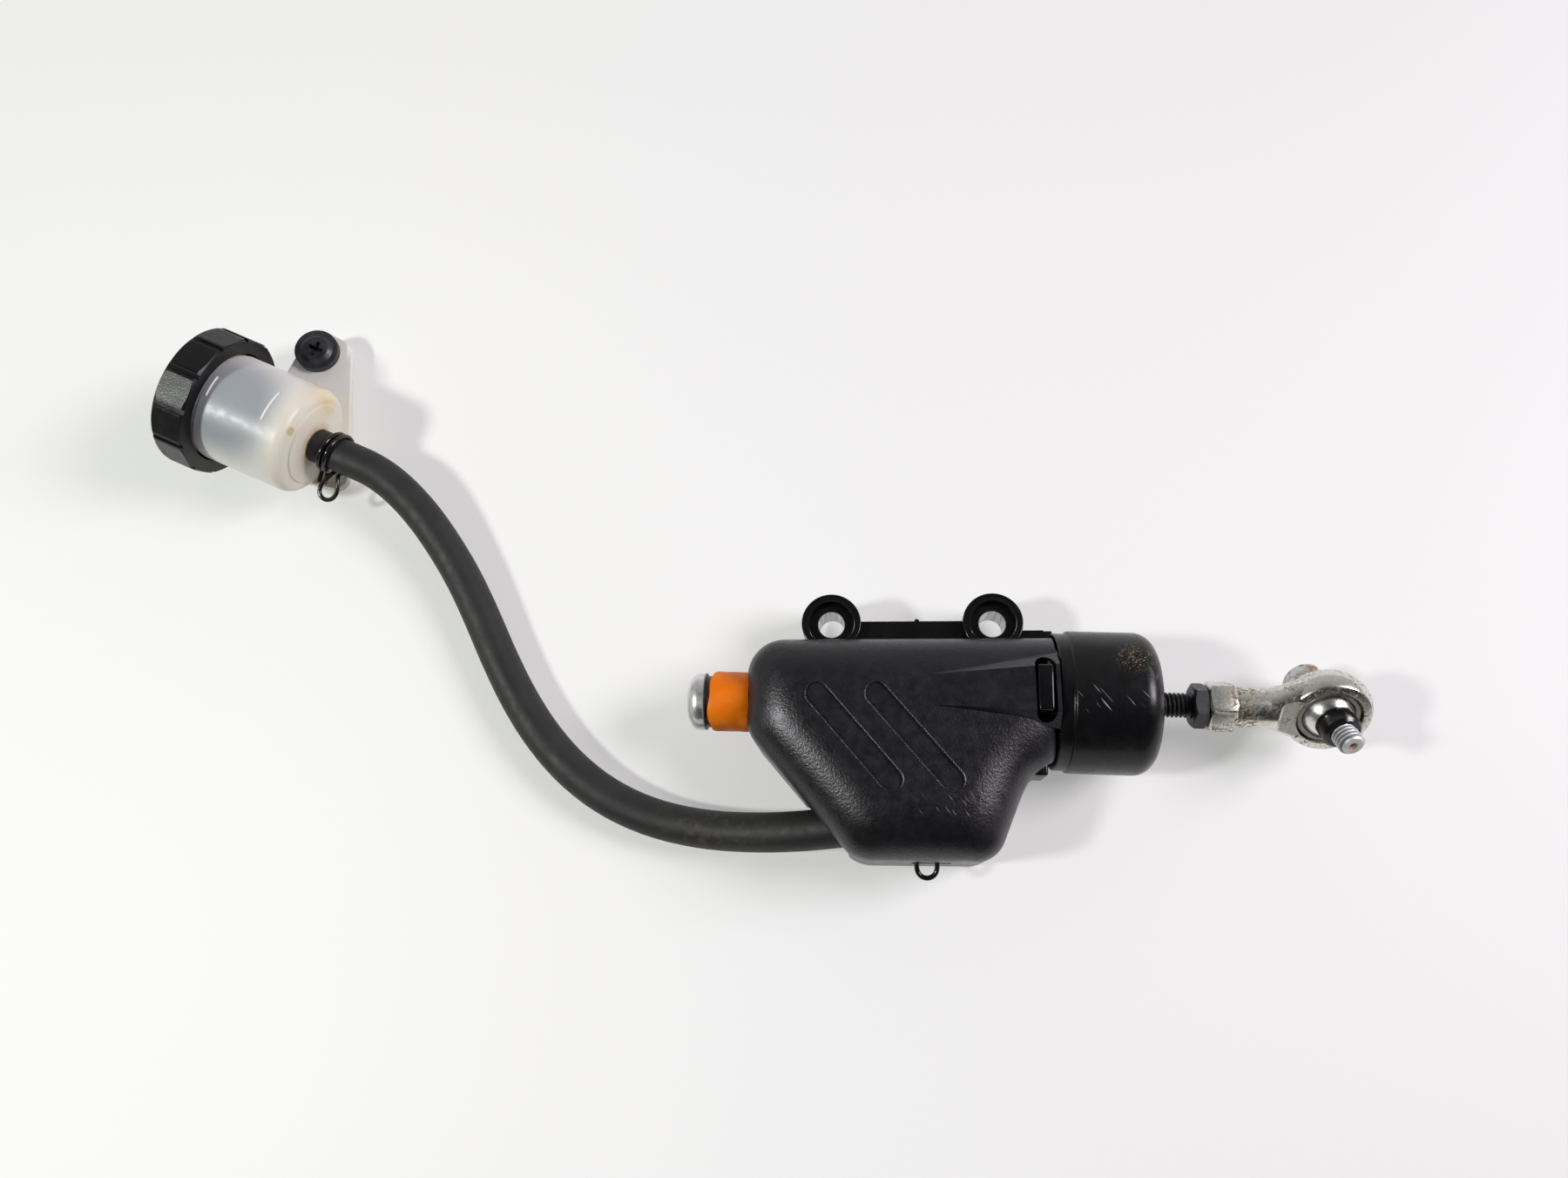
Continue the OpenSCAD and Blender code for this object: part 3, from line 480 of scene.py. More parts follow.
def scratches(graph, *marks):
    """Short parallel scratches at each mark (point, reach, angle), as one mask."""
    worn = 0.0
    for point, reach, angle in marks:
        lines = graph.noise(2600, 2, 0.4, graph.stretched(angle, (0.06, 1.0, 0.3)))
        cut = graph.times(graph.step(lines, 0.64, 0.72), graph.near(point, reach * 0.6, reach))
        worn = graph.most(worn, cut)
    return worn


cover_mat = plastic("cover_plastic", "cover_grain", rgb(0.0035, 0.0034, 0.004), rgb(0.006, 0.0058, 0.0066),
                    rough=0.33, grain=1650, height=0.32)
cover_mat.set(Specular_Tint=rgb(0.96, 0.93, 1.0), Specular_IOR_Level=0.56)
cover_worn = scratches(cover_mat, ((2.1, -46, 26), 3.2, 52), ((9.6, -46.4, 25), 4.2, 52))
cover_mat.stain(cover_worn, rgb(0.20, 0.20, 0.21))

end_mat = plastic("end_plastic", "end_cap_satin", rgb(0.0035, 0.0035, 0.0042), rgb(0.006, 0.006, 0.0068),
                  rough=0.34, grain=1500, height=0.03)
end_mat.set(Specular_IOR_Level=0.27)
end_dust = end_mat.patchy(end_mat.near((50, -12.5, 25.5), 1.5, 6), (2400, 3, 0.7), (0.57, 0.63))
end_mat.stain(end_dust, rgb(0.30, 0.235, 0.12))
end_scuff = end_mat.patchy(end_mat.near((53.4, -16.4, 26), 1, 3.4), (900, 5), (0.42, 0.7))
end_mat.stain(end_scuff, rgb(0.07, 0.075, 0.09))
end_marks = (((38.4, -23, 28), 4.4, 50), ((49.7, -23, 28), 3.4, 48), ((43, -22.6, 28), 3.4, 50))
end_mat.stain(scratches(end_mat, *end_marks), rgb(0.24, 0.24, 0.25))
end_rough = end_mat.step(end_mat.noise(420, 4), 0.2, 0.8, 0.23, 0.35)
end_polish = end_mat.between(end_mat.near((29.3, -20, 28.3), 5.8, 7.5), 1.0, 0.4)
end_mat.set(Roughness=end_mat.times(end_rough, end_polish))

rubber_mat = plastic("rubber", "hose_rubber", rgb(0.007, 0.007, 0.007), rgb(0.013, 0.0125, 0.012),
                     rough=0.58, grain=1100, height=0.05)
hose_dirt = rubber_mat.patchy(rubber_mat.near((-48, -53, 3), 5, 22), (420, 6, 0.65), (0.5, 0.66))
rubber_mat.stain(hose_dirt, rgb(0.045, 0.033, 0.021))
hose.data.materials.append(made["rubber"])

lid_mat = plastic("cap_plastic", "lid_plastic", rgb(0.0035, 0.0035, 0.004), rgb(0.006, 0.006, 0.0065),
                  rough=0.32, grain=2000, height=0.1)
lid_mat.set(Specular_IOR_Level=0.33)
lid_dust = lid_mat.patchy(lid_mat.near((-183, 47, 17), 3, 8), (1500, 5), (0.42, 0.6))
lid_mat.stain(lid_dust, rgb(0.20, 0.22, 0.22))

# The milky wall gets painted shade near the lid, standing in for the lid's shadow and the dark diaphragm seen
# through it, and is yellowed low down, at the ear and at the nipple
milk_mat = plastic("milky_plastic", "milky_plastic", rgb(0.88, 0.86, 0.82), rgb(0.93, 0.91, 0.87),
                   rough=0.37, grain=900, height=0.03)
milk_mat.set(Transmission_Weight=0.25, IOR=1.46)
# Painted shade of the lid, darkest round this point
lid_shade_at = ON_RESERVOIR @ Vector((0, 0, 18)) + Vector((0, -2, 13))
milk_mat.stain(milk_mat.times(milk_mat.near(lid_shade_at, 8, 19), 0.92), rgb(0.35, 0.38, 0.41))
milk_mat.stain(milk_mat.past(ON_RESERVOIR, 1.5, 9, 0.75, 0.0), rgb(0.86, 0.80, 0.66))
ear_stain = milk_mat.patchy(milk_mat.near((-154, 62.5, 15), 2, 10), (260, 4), (0.35, 0.65, 0.4, 0.95))
milk_mat.stain(ear_stain, rgb(0.80, 0.66, 0.35))
weep = milk_mat.patchy(milk_mat.inside(ON_RESERVOIR, 4.2, 7.5), (300, 4), (0.3, 0.7, 0.35, 0.9))
weep = milk_mat.times(weep, milk_mat.past(ON_RESERVOIR, 2.5, 3.5, 1.0, 0.0))
milk_mat.stain(weep, rgb(0.62, 0.42, 0.16))
spot = milk_mat.patchy(milk_mat.near((-160.5, 49, 23.3), 0.8, 1.9), (900, 4), (0.2, 0.45))
milk_mat.stain(spot, rgb(0.64, 0.49, 0.20))

orange_mat = plastic("sleeve_orange", "orange_sleeve", rgb(0.67, 0.14, 0.001), rgb(0.77, 0.19, 0.002),
                     rough=0.45, grain=500, height=0.2)
orange_mat.set(Specular_IOR_Level=0.2, Subsurface_Weight=0.25, Subsurface_Radius=(0.002, 0.001, 0.0004))

# Gloss paint over the casting, with bare alloy in its two holes
paint_mat = plastic("body_paint", "gloss_paint", rgb(0.003, 0.003, 0.0033), rgb(0.005, 0.005, 0.0054),
                    rough=0.18, grain=500, height=0.03)
paint_mat.set(Specular_IOR_Level=0.3, Coat_Weight=0.15, Coat_Roughness=0.08)
bare = 0.0
for x in BOSS_XS:
    bare = paint_mat.most(bare, paint_mat.inside(shift(x, 0, 0), 3.3, 3.42))
streaks = paint_mat.noise(1400, 3, 0.5, paint_mat.stretched(0, (1, 1, 0.08)))
alloy = paint_mat.mix(paint_mat.step(streaks, 0.3, 0.7), rgb(0.42, 0.41, 0.40), rgb(0.78, 0.77, 0.75))
paint_mat.stain(bare, alloy)
paint_mat.set(Metallic=paint_mat.times(bare, 0.9), Roughness=paint_mat.between(bare, 0.2, 0.36))

plastic("black_wire", "clamp_wire", rgb(0.005, 0.005, 0.005), rgb(0.009, 0.009, 0.009),
        rough=0.14, grain=1800, height=0.02)
plastic("white_plastic", "white_plastic", rgb(0.72, 0.71, 0.68), rgb(0.80, 0.79, 0.76),
        rough=0.45, grain=1200, height=0.03)
plastic("collar_black", "gloss_collar", rgb(0.004, 0.004, 0.004), rgb(0.007, 0.007, 0.007),
        rough=0.18, grain=1500, height=0.02)
metal("bright_steel", rgb(0.50, 0.50, 0.51), rgb(0.66, 0.66, 0.67), rough=0.26, grain=1600)
metal("race_steel", rgb(0.30, 0.29, 0.26), rgb(0.48, 0.46, 0.42), rough=0.38, grain=1600)
metal("ball_steel", rgb(0.64, 0.64, 0.63), rgb(0.76, 0.75, 0.74), rough=0.24, grain=2200)
metal("piston_alloy", rgb(0.55, 0.55, 0.56), rgb(0.70, 0.70, 0.71), rough=0.3, grain=1600)
black_mat = metal("black_steel", rgb(0.03, 0.03, 0.033), rgb(0.055, 0.055, 0.06), rough=0.38, grain=1600)
black_mat.set(Metallic=0.5)

# Dull steel, with painted shade near black where the neck steps in under the sleeve
plug_mat = metal("plug_steel", rgb(0.62, 0.61, 0.61), rgb(0.76, 0.75, 0.75), rough=0.34, grain=1200)
plug_gap_shade = plug_mat.past(ALONG_X, -50.9, -50.4)
plug_mat.stain(plug_gap_shade, rgb(0.02, 0.02, 0.02))
plug_mat.set(Metallic=plug_mat.between(plug_gap_shade, 1.0, 0.1))

# Pitted zinc on the rod end, rusty in patches and at the seam of its hexagon
zinc_mat = metal("zinc_steel", rgb(0.64, 0.63, 0.57), rgb(0.82, 0.81, 0.74), rough=0.28, grain=1300)
pits = zinc_mat.step(zinc_mat.noise(1450, 6, 0.85), 0.515, 0.56, 0.0, 0.94)
pits = zinc_mat.patchy(pits, (150, 3), (0.42, 0.58, 0.3, 1.0))
zinc_mat.stain(pits, rgb(0.06, 0.05, 0.032))
rust = zinc_mat.patchy(zinc_mat.step(zinc_mat.noise(300, 4, 0.6), 0.55, 0.68), (2000, 5), (0.46, 0.58))
seam = zinc_mat.patchy(zinc_mat.near((75.6, -21.3, 11), 5.6, 7.4), (1300, 5), (0.46, 0.6))
rust = zinc_mat.most(rust, seam)
zinc_mat.stain(rust, rgb(0.13, 0.10, 0.05))
zinc_mat.set(Roughness=zinc_mat.between(pits, 0.22, 0.55))
zinc_mat.set(Metallic=zinc_mat.between(zinc_mat.most(pits, rust), 1.0, 0.1))

# Dull zinc on the bolt, dark in its thread and rusty in its dimple and on its head
bolt_mat = metal("bolt_zinc", rgb(0.48, 0.49, 0.50), rgb(0.64, 0.65, 0.66), rough=0.5, grain=1900)
roots = bolt_mat.times(bolt_mat.inside(ON_BOLT, 2.5, 2.9), bolt_mat.past(ON_BOLT, 12.6, 12.8, 1.0, 0.0))
dimple = bolt_mat.times(bolt_mat.inside(ON_BOLT, 0.8, 1.1), bolt_mat.past(ON_BOLT, 12.3, 12.5))
head_rust = bolt_mat.patchy(bolt_mat.past(ON_BOLT, -8, -7, 1.0, 0.0), (420, 5), (0.52, 0.64))
bolt_rust = bolt_mat.most(dimple, head_rust)
bolt_mat.stain(roots, rgb(0.10, 0.105, 0.11))
bolt_mat.stain(bolt_rust, rgb(0.20, 0.12, 0.06))
bolt_mat.set(Metallic=bolt_mat.between(bolt_mat.most(bolt_rust, roots), 0.7, 0.1))

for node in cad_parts.values():
    for index, packed in enumerate(node.data.materials):
        slot = packed.name.split(".")[0] if packed else None
        if slot in made:
            node.data.materials[index] = made[slot]

# Hose clamps: doubled wire with a loop at one end, wound past itself
WIND_R = 5.45
WIRE_R = 0.6
CLAMP_SWEEP = 374.0
CLAMP_STEPS = 20
CLAMP_SPACE = 0.85
CLAMP_LEAD = 3.6
CLAMP_TURN = 75
LOWER_CLAMP_AT = (4.3, -49, 11)
UPPER_CLAMP_BACK = 6.4
LOOP_LEN = 7.4
LOOP_HALF = 2.4
END_LEN = 4.0


def strand(side):
    found = []
    for step in range(CLAMP_STEPS + 1):
        part = step / CLAMP_STEPS
        found.append(polar(WIND_R, CLAMP_SWEEP * (part - 1), CLAMP_LEAD * (0.5 - part) + side * CLAMP_SPACE))
    return found


def clamp_wire():
    low = -CLAMP_LEAD / 2
    path = [polar(WIND_R + END_LEN, -CLAMP_SWEEP, -low - CLAMP_SPACE)]
    path += strand(-1)
    path.append(polar(WIND_R + LOOP_LEN / 2, 0, low - LOOP_HALF))
    for x, z in arc((WIND_R + LOOP_LEN - LOOP_HALF, low), LOOP_HALF, -90, 90, 6):
        path.append(Vector((x, 0, z)))
    path.append(polar(WIND_R + LOOP_LEN / 2, 0, low + LOOP_HALF))
    path += reversed(strand(1))
    path.append(polar(WIND_R + END_LEN, -CLAMP_SWEEP, -low + CLAMP_SPACE))
    return softened(path)


mirror_y = Matrix.Scale(-1, 4, (0, 1, 0))
clamp_places = {
    "lower": shift(*LOWER_CLAMP_AT) @ ALONG_X @ turn("Z", -CLAMP_TURN) @ mirror_y,
    "upper": ON_RESERVOIR @ shift(0, 0, -UPPER_CLAMP_BACK) @ turn("Z", CLAMP_TURN)}
for end, place in clamp_places.items():
    clamp = tube(end + "_clamp_wire", clamp_wire(), WIRE_R, place)
    fit(clamp, "cylinder", [end + "_hose_clamp"], "black_wire")

# Return spring in the bore
SPRING_FROM = -21.5
SPRING_LEN = 32.0
SPRING_R = 4.4
SPRING_WIRE = 1.2
SPRING_TURNS = 8
SPRING_STEPS = SPRING_TURNS * 24
spring_path = []
for step in range(SPRING_STEPS + 1):
    part = step / SPRING_STEPS
    along = SPRING_FROM + SPRING_WIRE / 2 + part * (SPRING_LEN - SPRING_WIRE)
    angle = math.tau * SPRING_TURNS * part
    spring_path.append(Vector((along, SPRING_R * math.cos(angle), SPRING_R * math.sin(angle))))
spring = tube("return_spring_wire", spring_path, SPRING_WIRE / 2, ON_AXIS)
fit(spring, "cylinder", ["return_spring"], "bright_steel")
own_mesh(spring)

# Dust boot: folds from the cylinder's mouth to the lip on the push rod
BOOT_FROM = 38.2
BOOT_WALL = 1.2
BOOT_FOLDS = ((0, 12.5), (3, 12.5), (4.8, 9.5), (6.3, 11), (7.8, 7.5), (9.3, 9), (10.8, 5.9))
LIP_FROM = BOOT_FROM + 11.2 - SEAT_X
LIP_T = 1.8
LIP_EASE = 0.5
LIP_HOLE_R = 3.05
LIP_SIDE_R = 4.6
LIP_R = 5.05
boot_outer = softened([Vector((BOOT_FROM + along, radius)) for along, radius in BOOT_FOLDS])
boot_inner = [Vector((point.x, point.y - BOOT_WALL)) for point in reversed(boot_outer)]
boot = lathe("dust_boot_folds", boot_outer + boot_inner, ON_AXIS @ ALONG_X, 64, True)
fit(boot, None, ["dust_boot"], "rubber")
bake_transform(boot)
lip_profile = [(LIP_FROM, LIP_HOLE_R), (LIP_FROM, LIP_SIDE_R), (LIP_FROM + LIP_EASE, LIP_R)]
lip_profile += [(LIP_FROM + LIP_T - LIP_EASE, LIP_R), (LIP_FROM + LIP_T, LIP_SIDE_R)]
lip_profile.append((LIP_FROM + LIP_T, LIP_HOLE_R))
lip = lathe("dust_boot_lip", lip_profile, ON_ROD @ ALONG_X, 64, True)
fit(lip, "push_rod", ["dust_boot"], "rubber")

# Push rod with its ball and its cut thread
ROD_R = 3.0
ROD_LEN = 51.0
ROD_EASE = 0.6
BALL_SEAT_R = 4.0
THREAD_FROM = 22.0
THREAD_DEPTH = 0.5
THREAD_STEPS = 290
neck_angle = math.degrees(math.asin(ROD_R / BALL_SEAT_R))
rod_profile = [(-BALL_SEAT_R, 0)] + arc((0, 0), BALL_SEAT_R, 176, neck_angle, 22)
rod_profile.append((THREAD_FROM - 0.5, ROD_R))
for step in range(THREAD_STEPS + 1):
    along = THREAD_FROM + (ROD_LEN - ROD_EASE - THREAD_FROM) * step / THREAD_STEPS
    rod_profile.append((along, ROD_R, THREAD_DEPTH * min(1.0, (along - THREAD_FROM) / THREAD_PITCH)))
rod_profile += [(ROD_LEN, ROD_R - ROD_EASE), (ROD_LEN, 0)]
push_rod = lathe("push_rod_threaded", rod_profile, ON_ROD @ ALONG_X, 48)
fit(push_rod, "push_rod", ["pushrod"], "black_steel")

# Bolt through the ball, with its head, pin and thread
BOLT_BACK = 4.65
SHOULDER_R = 4.0
SHOULDER_T = 3.3
HEAD_R = 4.7
HEAD_T = 4.4
HEAD_ROUND = 0.8
HEAD_EASE = 0.4
SOCKET_R = 2.31
SOCKET_DEPTH = 2.6
PIN_R = 3.0
PIN_TO = 8.25
PIN_CREST_R = 2.95
PIN_THREAD = 0.6
PIN_STEPS = 60
SPACER_TOP = 8.85
BOLT_TIP = 13.05
TIP_EASE = 0.5
TIP_R = 2.25
DIMPLE_R = 0.9
DIMPLE_FLOOR_R = 0.5
head_low = -BOLT_BACK - SHOULDER_T - HEAD_T
head_top = -BOLT_BACK - SHOULDER_T
bolt_profile = [(head_low, 0), (head_low, HEAD_R - HEAD_ROUND), (head_low + 0.3, HEAD_R - 0.35)]
bolt_profile += [(head_low + HEAD_ROUND, HEAD_R), (head_top - HEAD_EASE, HEAD_R)]
bolt_profile += [(head_top, HEAD_R - HEAD_EASE), (head_top, SHOULDER_R)]
bolt_profile += [(-BOLT_BACK, SHOULDER_R), (-BOLT_BACK, PIN_R), (PIN_TO, PIN_R)]
for step in range(PIN_STEPS + 1):
    along = SPACER_TOP - TIP_EASE + (BOLT_TIP - SPACER_TOP) * step / PIN_STEPS
    bolt_profile.append((along, PIN_CREST_R, PIN_THREAD))
bolt_profile += [(BOLT_TIP, TIP_R), (BOLT_TIP, DIMPLE_R)]
bolt_profile += [(BOLT_TIP - TIP_EASE, DIMPLE_FLOOR_R), (BOLT_TIP - TIP_EASE, 0)]
bolt = lathe("pivot_bolt_threaded", bolt_profile, ON_BOLT, 48)
carve(bolt, [prism("hex_socket", hexagon(SOCKET_R), head_low - 1, head_low + SOCKET_DEPTH, ON_BOLT)])
shade(bolt)
fit(bolt, "bolt", ["pivot_bolt"], "bright_steel", made["bolt_zinc"])

# Cover: a block and a lobe in plan, flowing into each other, drawn over as one smooth shell
COVER_TOP = 26.0
COVER_RIGHT = 32.5
COVER_WALL = 2.0
COVER_CORE = Vector((0, -26))
BLOCK_CORNERS = ((-31, -14.8, 9), (-31, -25, 9), (39.5, -14.8, 9), (25.5, -27.5, 9))
LOBE_CORNERS = ((-31, -25, 9), (-10.3, -49, 9), (13.2, -50.8, 7.2), (20.5, -33, 7.2), (18, -20, 7.2))
CORNER_STEPS = 72
COVER_STEPS = 480
HOLLOW_AT = -21.0
HOLLOW_HALF = 24
HOLLOW_BLEND = 5.0
COVER_RUN = 13.0
COVER_DROP = 10.0
COVER_EASE = 40
EASE_FROM_RIM = 5
GRID_STEP = 0.75
GRID_LOW = (-56.0, -75.0)
GRID_COUNT = (150, 115)
DOME_LEVELS = 18
CORE_LEVELS = 6
PARALLEL = 1e-9
TINY = 1e-6


def bell(degrees, middle, half):
    """1 at an angle, falling smoothly to 0 at half away from it."""
    away = abs((degrees - middle + 180) % 360 - 180)
    return 0.5 + 0.5 * math.cos(math.pi * min(1.0, away / half))


def cross(a, b, c):
    return (b[0] - a[0]) * (c[1] - a[1]) - (b[1] - a[1]) * (c[0] - a[0])


def wrapped(corners):
    """The convex outline round circles (x, y, radius), as points anticlockwise."""
    points = []
    for x, y, radius in corners:
        for step in range(CORNER_STEPS):
            angle = math.tau * step / CORNER_STEPS
            points.append((round(x + radius * math.cos(angle), 5), round(y + radius * math.sin(angle), 5)))
    points = sorted(set(points))
    hull = []
    for row in (points, points[::-1]):
        side = []
        for point in row:
            while len(side) > 1 and cross(side[-2], side[-1], point) <= 0:
                side.pop()
            side.append(point)
        hull += side[:-1]
    return hull


def reach(hull, ray):
    """Distance from the cover's core to a convex outline along a ray."""
    for a, b in zip(hull, hull[1:] + hull[:1]):
        start = Vector(a) - COVER_CORE
        along = Vector(b) - Vector(a)
        bottom = ray.x * along.y - ray.y * along.x
        if abs(bottom) < PARALLEL:
            continue
        distance = (start.x * along.y - start.y * along.x) / bottom
        part = (start.x * ray.y - start.y * ray.x) / bottom
        if distance > 0 and -TINY <= part <= 1 + TINY:
            return distance
    return 0.0


def cover_outline():
    block_hull = wrapped(BLOCK_CORNERS)
    lobe_hull = wrapped(LOBE_CORNERS)
    found = []
    for step in range(COVER_STEPS):
        degrees = 360.0 * step / COVER_STEPS
        ray = polar(1.0, degrees, 0).xy
        one = reach(block_hull, ray)
        two = reach(lobe_hull, ray)
        blend = HOLLOW_BLEND * bell(degrees, HOLLOW_AT, HOLLOW_HALF)
        found.append(COVER_CORE + ray * (one + two + math.hypot(one - two, blend)) / 2)
    return found


def from_edge(flat, edge):
    """Distance of each point from an outline, in plan."""
    starts = np.array([tuple(point) for point in edge])
    along = np.roll(starts, -1, axis=0) - starts
    away = np.array([tuple(point) for point in flat])[:, None, :] - starts
    part = np.clip((away * along).sum(axis=2) / (along ** 2).sum(axis=1), 0, 1)
    return np.linalg.norm(away - part[..., None] * along, axis=2).min(axis=1)


def eased_depth(rim):
    """Distance inside the rim over a grid in plan, negative outside, with its ridges softened."""
    columns = GRID_LOW[0] + GRID_STEP * np.arange(GRID_COUNT[0])
    rows = GRID_LOW[1] + GRID_STEP * np.arange(GRID_COUNT[1])
    spokes = np.array([tuple(point - COVER_CORE) for point in rim])
    bearing = np.arctan2(spokes[:, 1], spokes[:, 0])
    order = np.argsort(bearing)
    found = []
    for row in rows:
        depth = from_edge([(column, row) for column in columns], rim)
        x = columns - COVER_CORE.x
        y = np.full_like(x, row - COVER_CORE.y)
        rim_at = np.interp(np.arctan2(y, x), bearing[order], np.hypot(*spokes.T)[order], period=math.tau)
        found.append(np.where(np.hypot(x, y) < rim_at, depth, -depth))
    field = np.array(found)
    for _ in range(COVER_EASE):
        for axis in (0, 1):
            field = (np.roll(field, 1, axis) + 2 * field + np.roll(field, -1, axis)) / 4
    return field


def sampled(field, flat):
    """The grid's value at each point."""
    places = (np.array([tuple(point) for point in flat]) - GRID_LOW) / GRID_STEP
    column, row = np.floor(places).astype(int).T
    right, up = (places - np.floor(places)).T
    near = field[row, column] * (1 - right) + field[row, column + 1] * right
    far = field[row + 1, column] * (1 - right) + field[row + 1, column + 1] * right
    return near * (1 - up) + far * up


def domed(flat, rim, field, inset):
    """Lift points to the dome: level in the middle, falling off to the rim in a quarter ellipse."""
    depth = from_edge(flat, rim)
    share = np.clip(depth / EASE_FROM_RIM, 0, 1)
    share = share * share * (3 - 2 * share)
    depth = depth + (sampled(field, flat) - depth) * share
    rise = np.clip(1 - depth / (COVER_RUN - inset), 0, 1)
    heights = COVER_TOP - inset - (COVER_DROP - inset) * (1 - np.sqrt(1 - rise ** 2))
    return [(point.x, point.y, float(height)) for point, height in zip(flat, heights)]


def cover_rings(outline, inset):
    """Rings from the table up the wall and over the domed edge to the middle, all shrunk by the inset."""
    rim = []
    leads = []
    for step, point in enumerate(outline):
        along = (outline[(step + 2) % COVER_STEPS] - outline[step - 2]).normalized()
        normal = Vector((along.y, -along.x))
        edge = point - normal * inset
        inward = COVER_CORE - edge
        slant = max(0.5, -inward.normalized().dot(normal))
        rim.append(edge)
        leads.append(inward.normalized() * min((COVER_RUN - inset) / slant, 0.7 * inward.length))
    field = eased_depth(rim)
    rings = [[(edge.x, edge.y, TABLE_Z) for edge in rim]]
    for level in range(DOME_LEVELS + 1):
        share = 1 - math.cos(math.pi / 2 * level / DOME_LEVELS)
        flat = [edge + lead * share for edge, lead in zip(rim, leads)]
        rings.append(domed(flat, rim, field, inset))
    for level in range(1, CORE_LEVELS):
        core = [point.lerp(COVER_CORE, level / CORE_LEVELS) for point in flat]
        rings.append(domed(core, rim, field, inset))
    return rings


def shell(name, outer, inner):
    """A closed shell from two stacks of rings with a common rim."""
    stack = list(reversed(inner)) + outer
    points = [point for ring in stack for point in ring]
    rings = rows_of(len(outer[0]), len(stack))
    return build(name, points, [tuple(rings[0]), tuple(rings[-1])] + skin(rings))


outline = cover_outline()
cover = shell("cover_shell", cover_rings(outline, 0), cover_rings(outline, COVER_WALL))

# Ramp to the end cap, then the windows, gates and sunk bars
RAMP_ENDS = ((3.8, 3.6, 26.0), (34.0, 5.5, 28.5))
RAMP_FOOT = 24.5
RAMP_SLOPE = 0.88
WINDOW_X = 29.3
WINDOW_W = 4.6
WINDOW_TOP_FROM = 23.7
WINDOW_SIDE_FROM = 12.7
HOOK_HALF = 5.3
OUTLET_GATE_R = 8.3
OUTLET_GATE_XS = (-42, -22)
HOSE_GATE_R = 6
HOSE_GATE_XS = (-30, -5)
HOSE_GATE_AT = (0, -50, 9)
GATE_DROP = 20
LOOP_GATE = ((-1.1, -62, 6.8), (8.2, -53.2, 11.2))
WEB_ROOM = ((-26.3, -12, -9), (44, 8, 8.3))
BAR_STARTS = (-22.8, -9.0)
BAR_LEN = 26
BAR_W = 5.4
BAR_TURN = -49.5
BAR_DEPTH = 0.5
BAR_DRAFT = 0.25
BAR_FROM_AXIS = 0.8
BEAD_R = 0.2
BOSS_ROOM_R = 7.7
BOSS_ROOM_TOP = 10.9
END_ROOM_ROUND = 7
FAR = 45
ramp_points = []
for x, top, height in RAMP_ENDS:
    foot = top + RAMP_SLOPE * (height - RAMP_FOOT)
    ramp_points += [(x, AXIS_Y - foot, RAMP_FOOT), (x, AXIS_Y + foot, RAMP_FOOT)]
    ramp_points += [(x, AXIS_Y + top, height), (x, AXIS_Y - top, height)]
ramp_faces = [(0, 1, 2, 3), (4, 7, 6, 5), (0, 4, 5, 1), (1, 5, 6, 2), (2, 6, 7, 3), (3, 7, 4, 0)]
carve(cover, [build("ramp", ramp_points, ramp_faces)], "UNION")
window = stadium(2 * HOOK_HALF, WINDOW_W)
window_top = shift(WINDOW_X, AXIS_Y - HOOK_HALF, 0) @ turn("Z", 90)
window_side = ON_AXIS @ turn("X", 90) @ shift(WINDOW_X, -HOOK_HALF, 0) @ turn("Z", 90)
cuts = [
    prism("window_top", window, WINDOW_TOP_FROM, FAR, window_top),
    prism("window_side", window, WINDOW_SIDE_FROM, FAR, window_side),
    prism("outlet_gate", arch(OUTLET_GATE_R, GATE_DROP), *OUTLET_GATE_XS, ON_AXIS @ FACE_X),
    prism("hose_gate", arch(HOSE_GATE_R, GATE_DROP), *HOSE_GATE_XS, shift(*HOSE_GATE_AT) @ FACE_X),
    block("loop_gate", *LOOP_GATE),
    block("web_room", *WEB_ROOM)]
beads = []
for start in BAR_STARTS:
    place = shift(start, AXIS_Y - BAR_FROM_AXIS, 0) @ turn("Z", BAR_TURN)
    cuts.append(prism("bar", stadium(BAR_LEN, BAR_W), COVER_TOP - BAR_DEPTH, COVER_TOP + 2, place, BAR_DRAFT))
    bead_path = [(x, y, COVER_TOP - 0.08) for x, y in stadium(BAR_LEN, BAR_W + 0.1)]
    beads.append(tube("bead", bead_path + bead_path[:1], BEAD_R, place, 8))
carve(cover, [join("cover_cuts", cuts)])
rooms = [lathe("boss_room", rod(-9, BOSS_ROOM_TOP, BOSS_ROOM_R), shift(x, 0, 0)) for x in BOSS_XS]
carve(cover, [join("boss_rooms", rooms)])
end_room = [(-13, -30), (13.2, -30), (13.2, 6)]
end_room += arc((6.2, 6), END_ROOM_ROUND, 0, 90, 8) + arc((-6, 6), END_ROOM_ROUND, 90, 180, 8)
carve(cover, [prism("end_room", end_room, 24, 60, ON_AXIS @ FACE_X)])
carve(cover, [block("end_cut", (COVER_RIGHT, -90, -20), (70, 60, 80))])
cover = join("cover_shell", [cover] + beads)
shade(cover, 28)
fit(cover, "cylinder", ["cover"], "cover_plastic")

# End cap: a turned cup with soft edges, and the hooks that snap into the cover's windows
CAP_FROM = 32.8
CAP_END = 56.4
CAP_R = 17.0
CAP_ROUND = 5.0
CAP_WALL = 2.0
CAP_HOLE_R = 8.2
COLLAR_R = 16.4
COLLAR_TO = 35.9
FLANGE_ROOM_R = 14.6
FLANGE_ROOM_TO = 37.4
HOOK_FROM = 27.5
HOOK_TO = 31.1
HOOK_LOW = 11.3
HOOK_LAP = 36.0
HOOK_TOPS = ((0, 17.3), (90, 18.4))
TONGUE_T = 1.4
EDGE = 0.5
ON_CAP = shift(CAP_FROM, AXIS_Y, AXIS_Z) @ turn("Z", ROD_YAW) @ shift(-CAP_FROM, 0, 0)
round_at = (CAP_END - CAP_ROUND, CAP_R - CAP_ROUND)
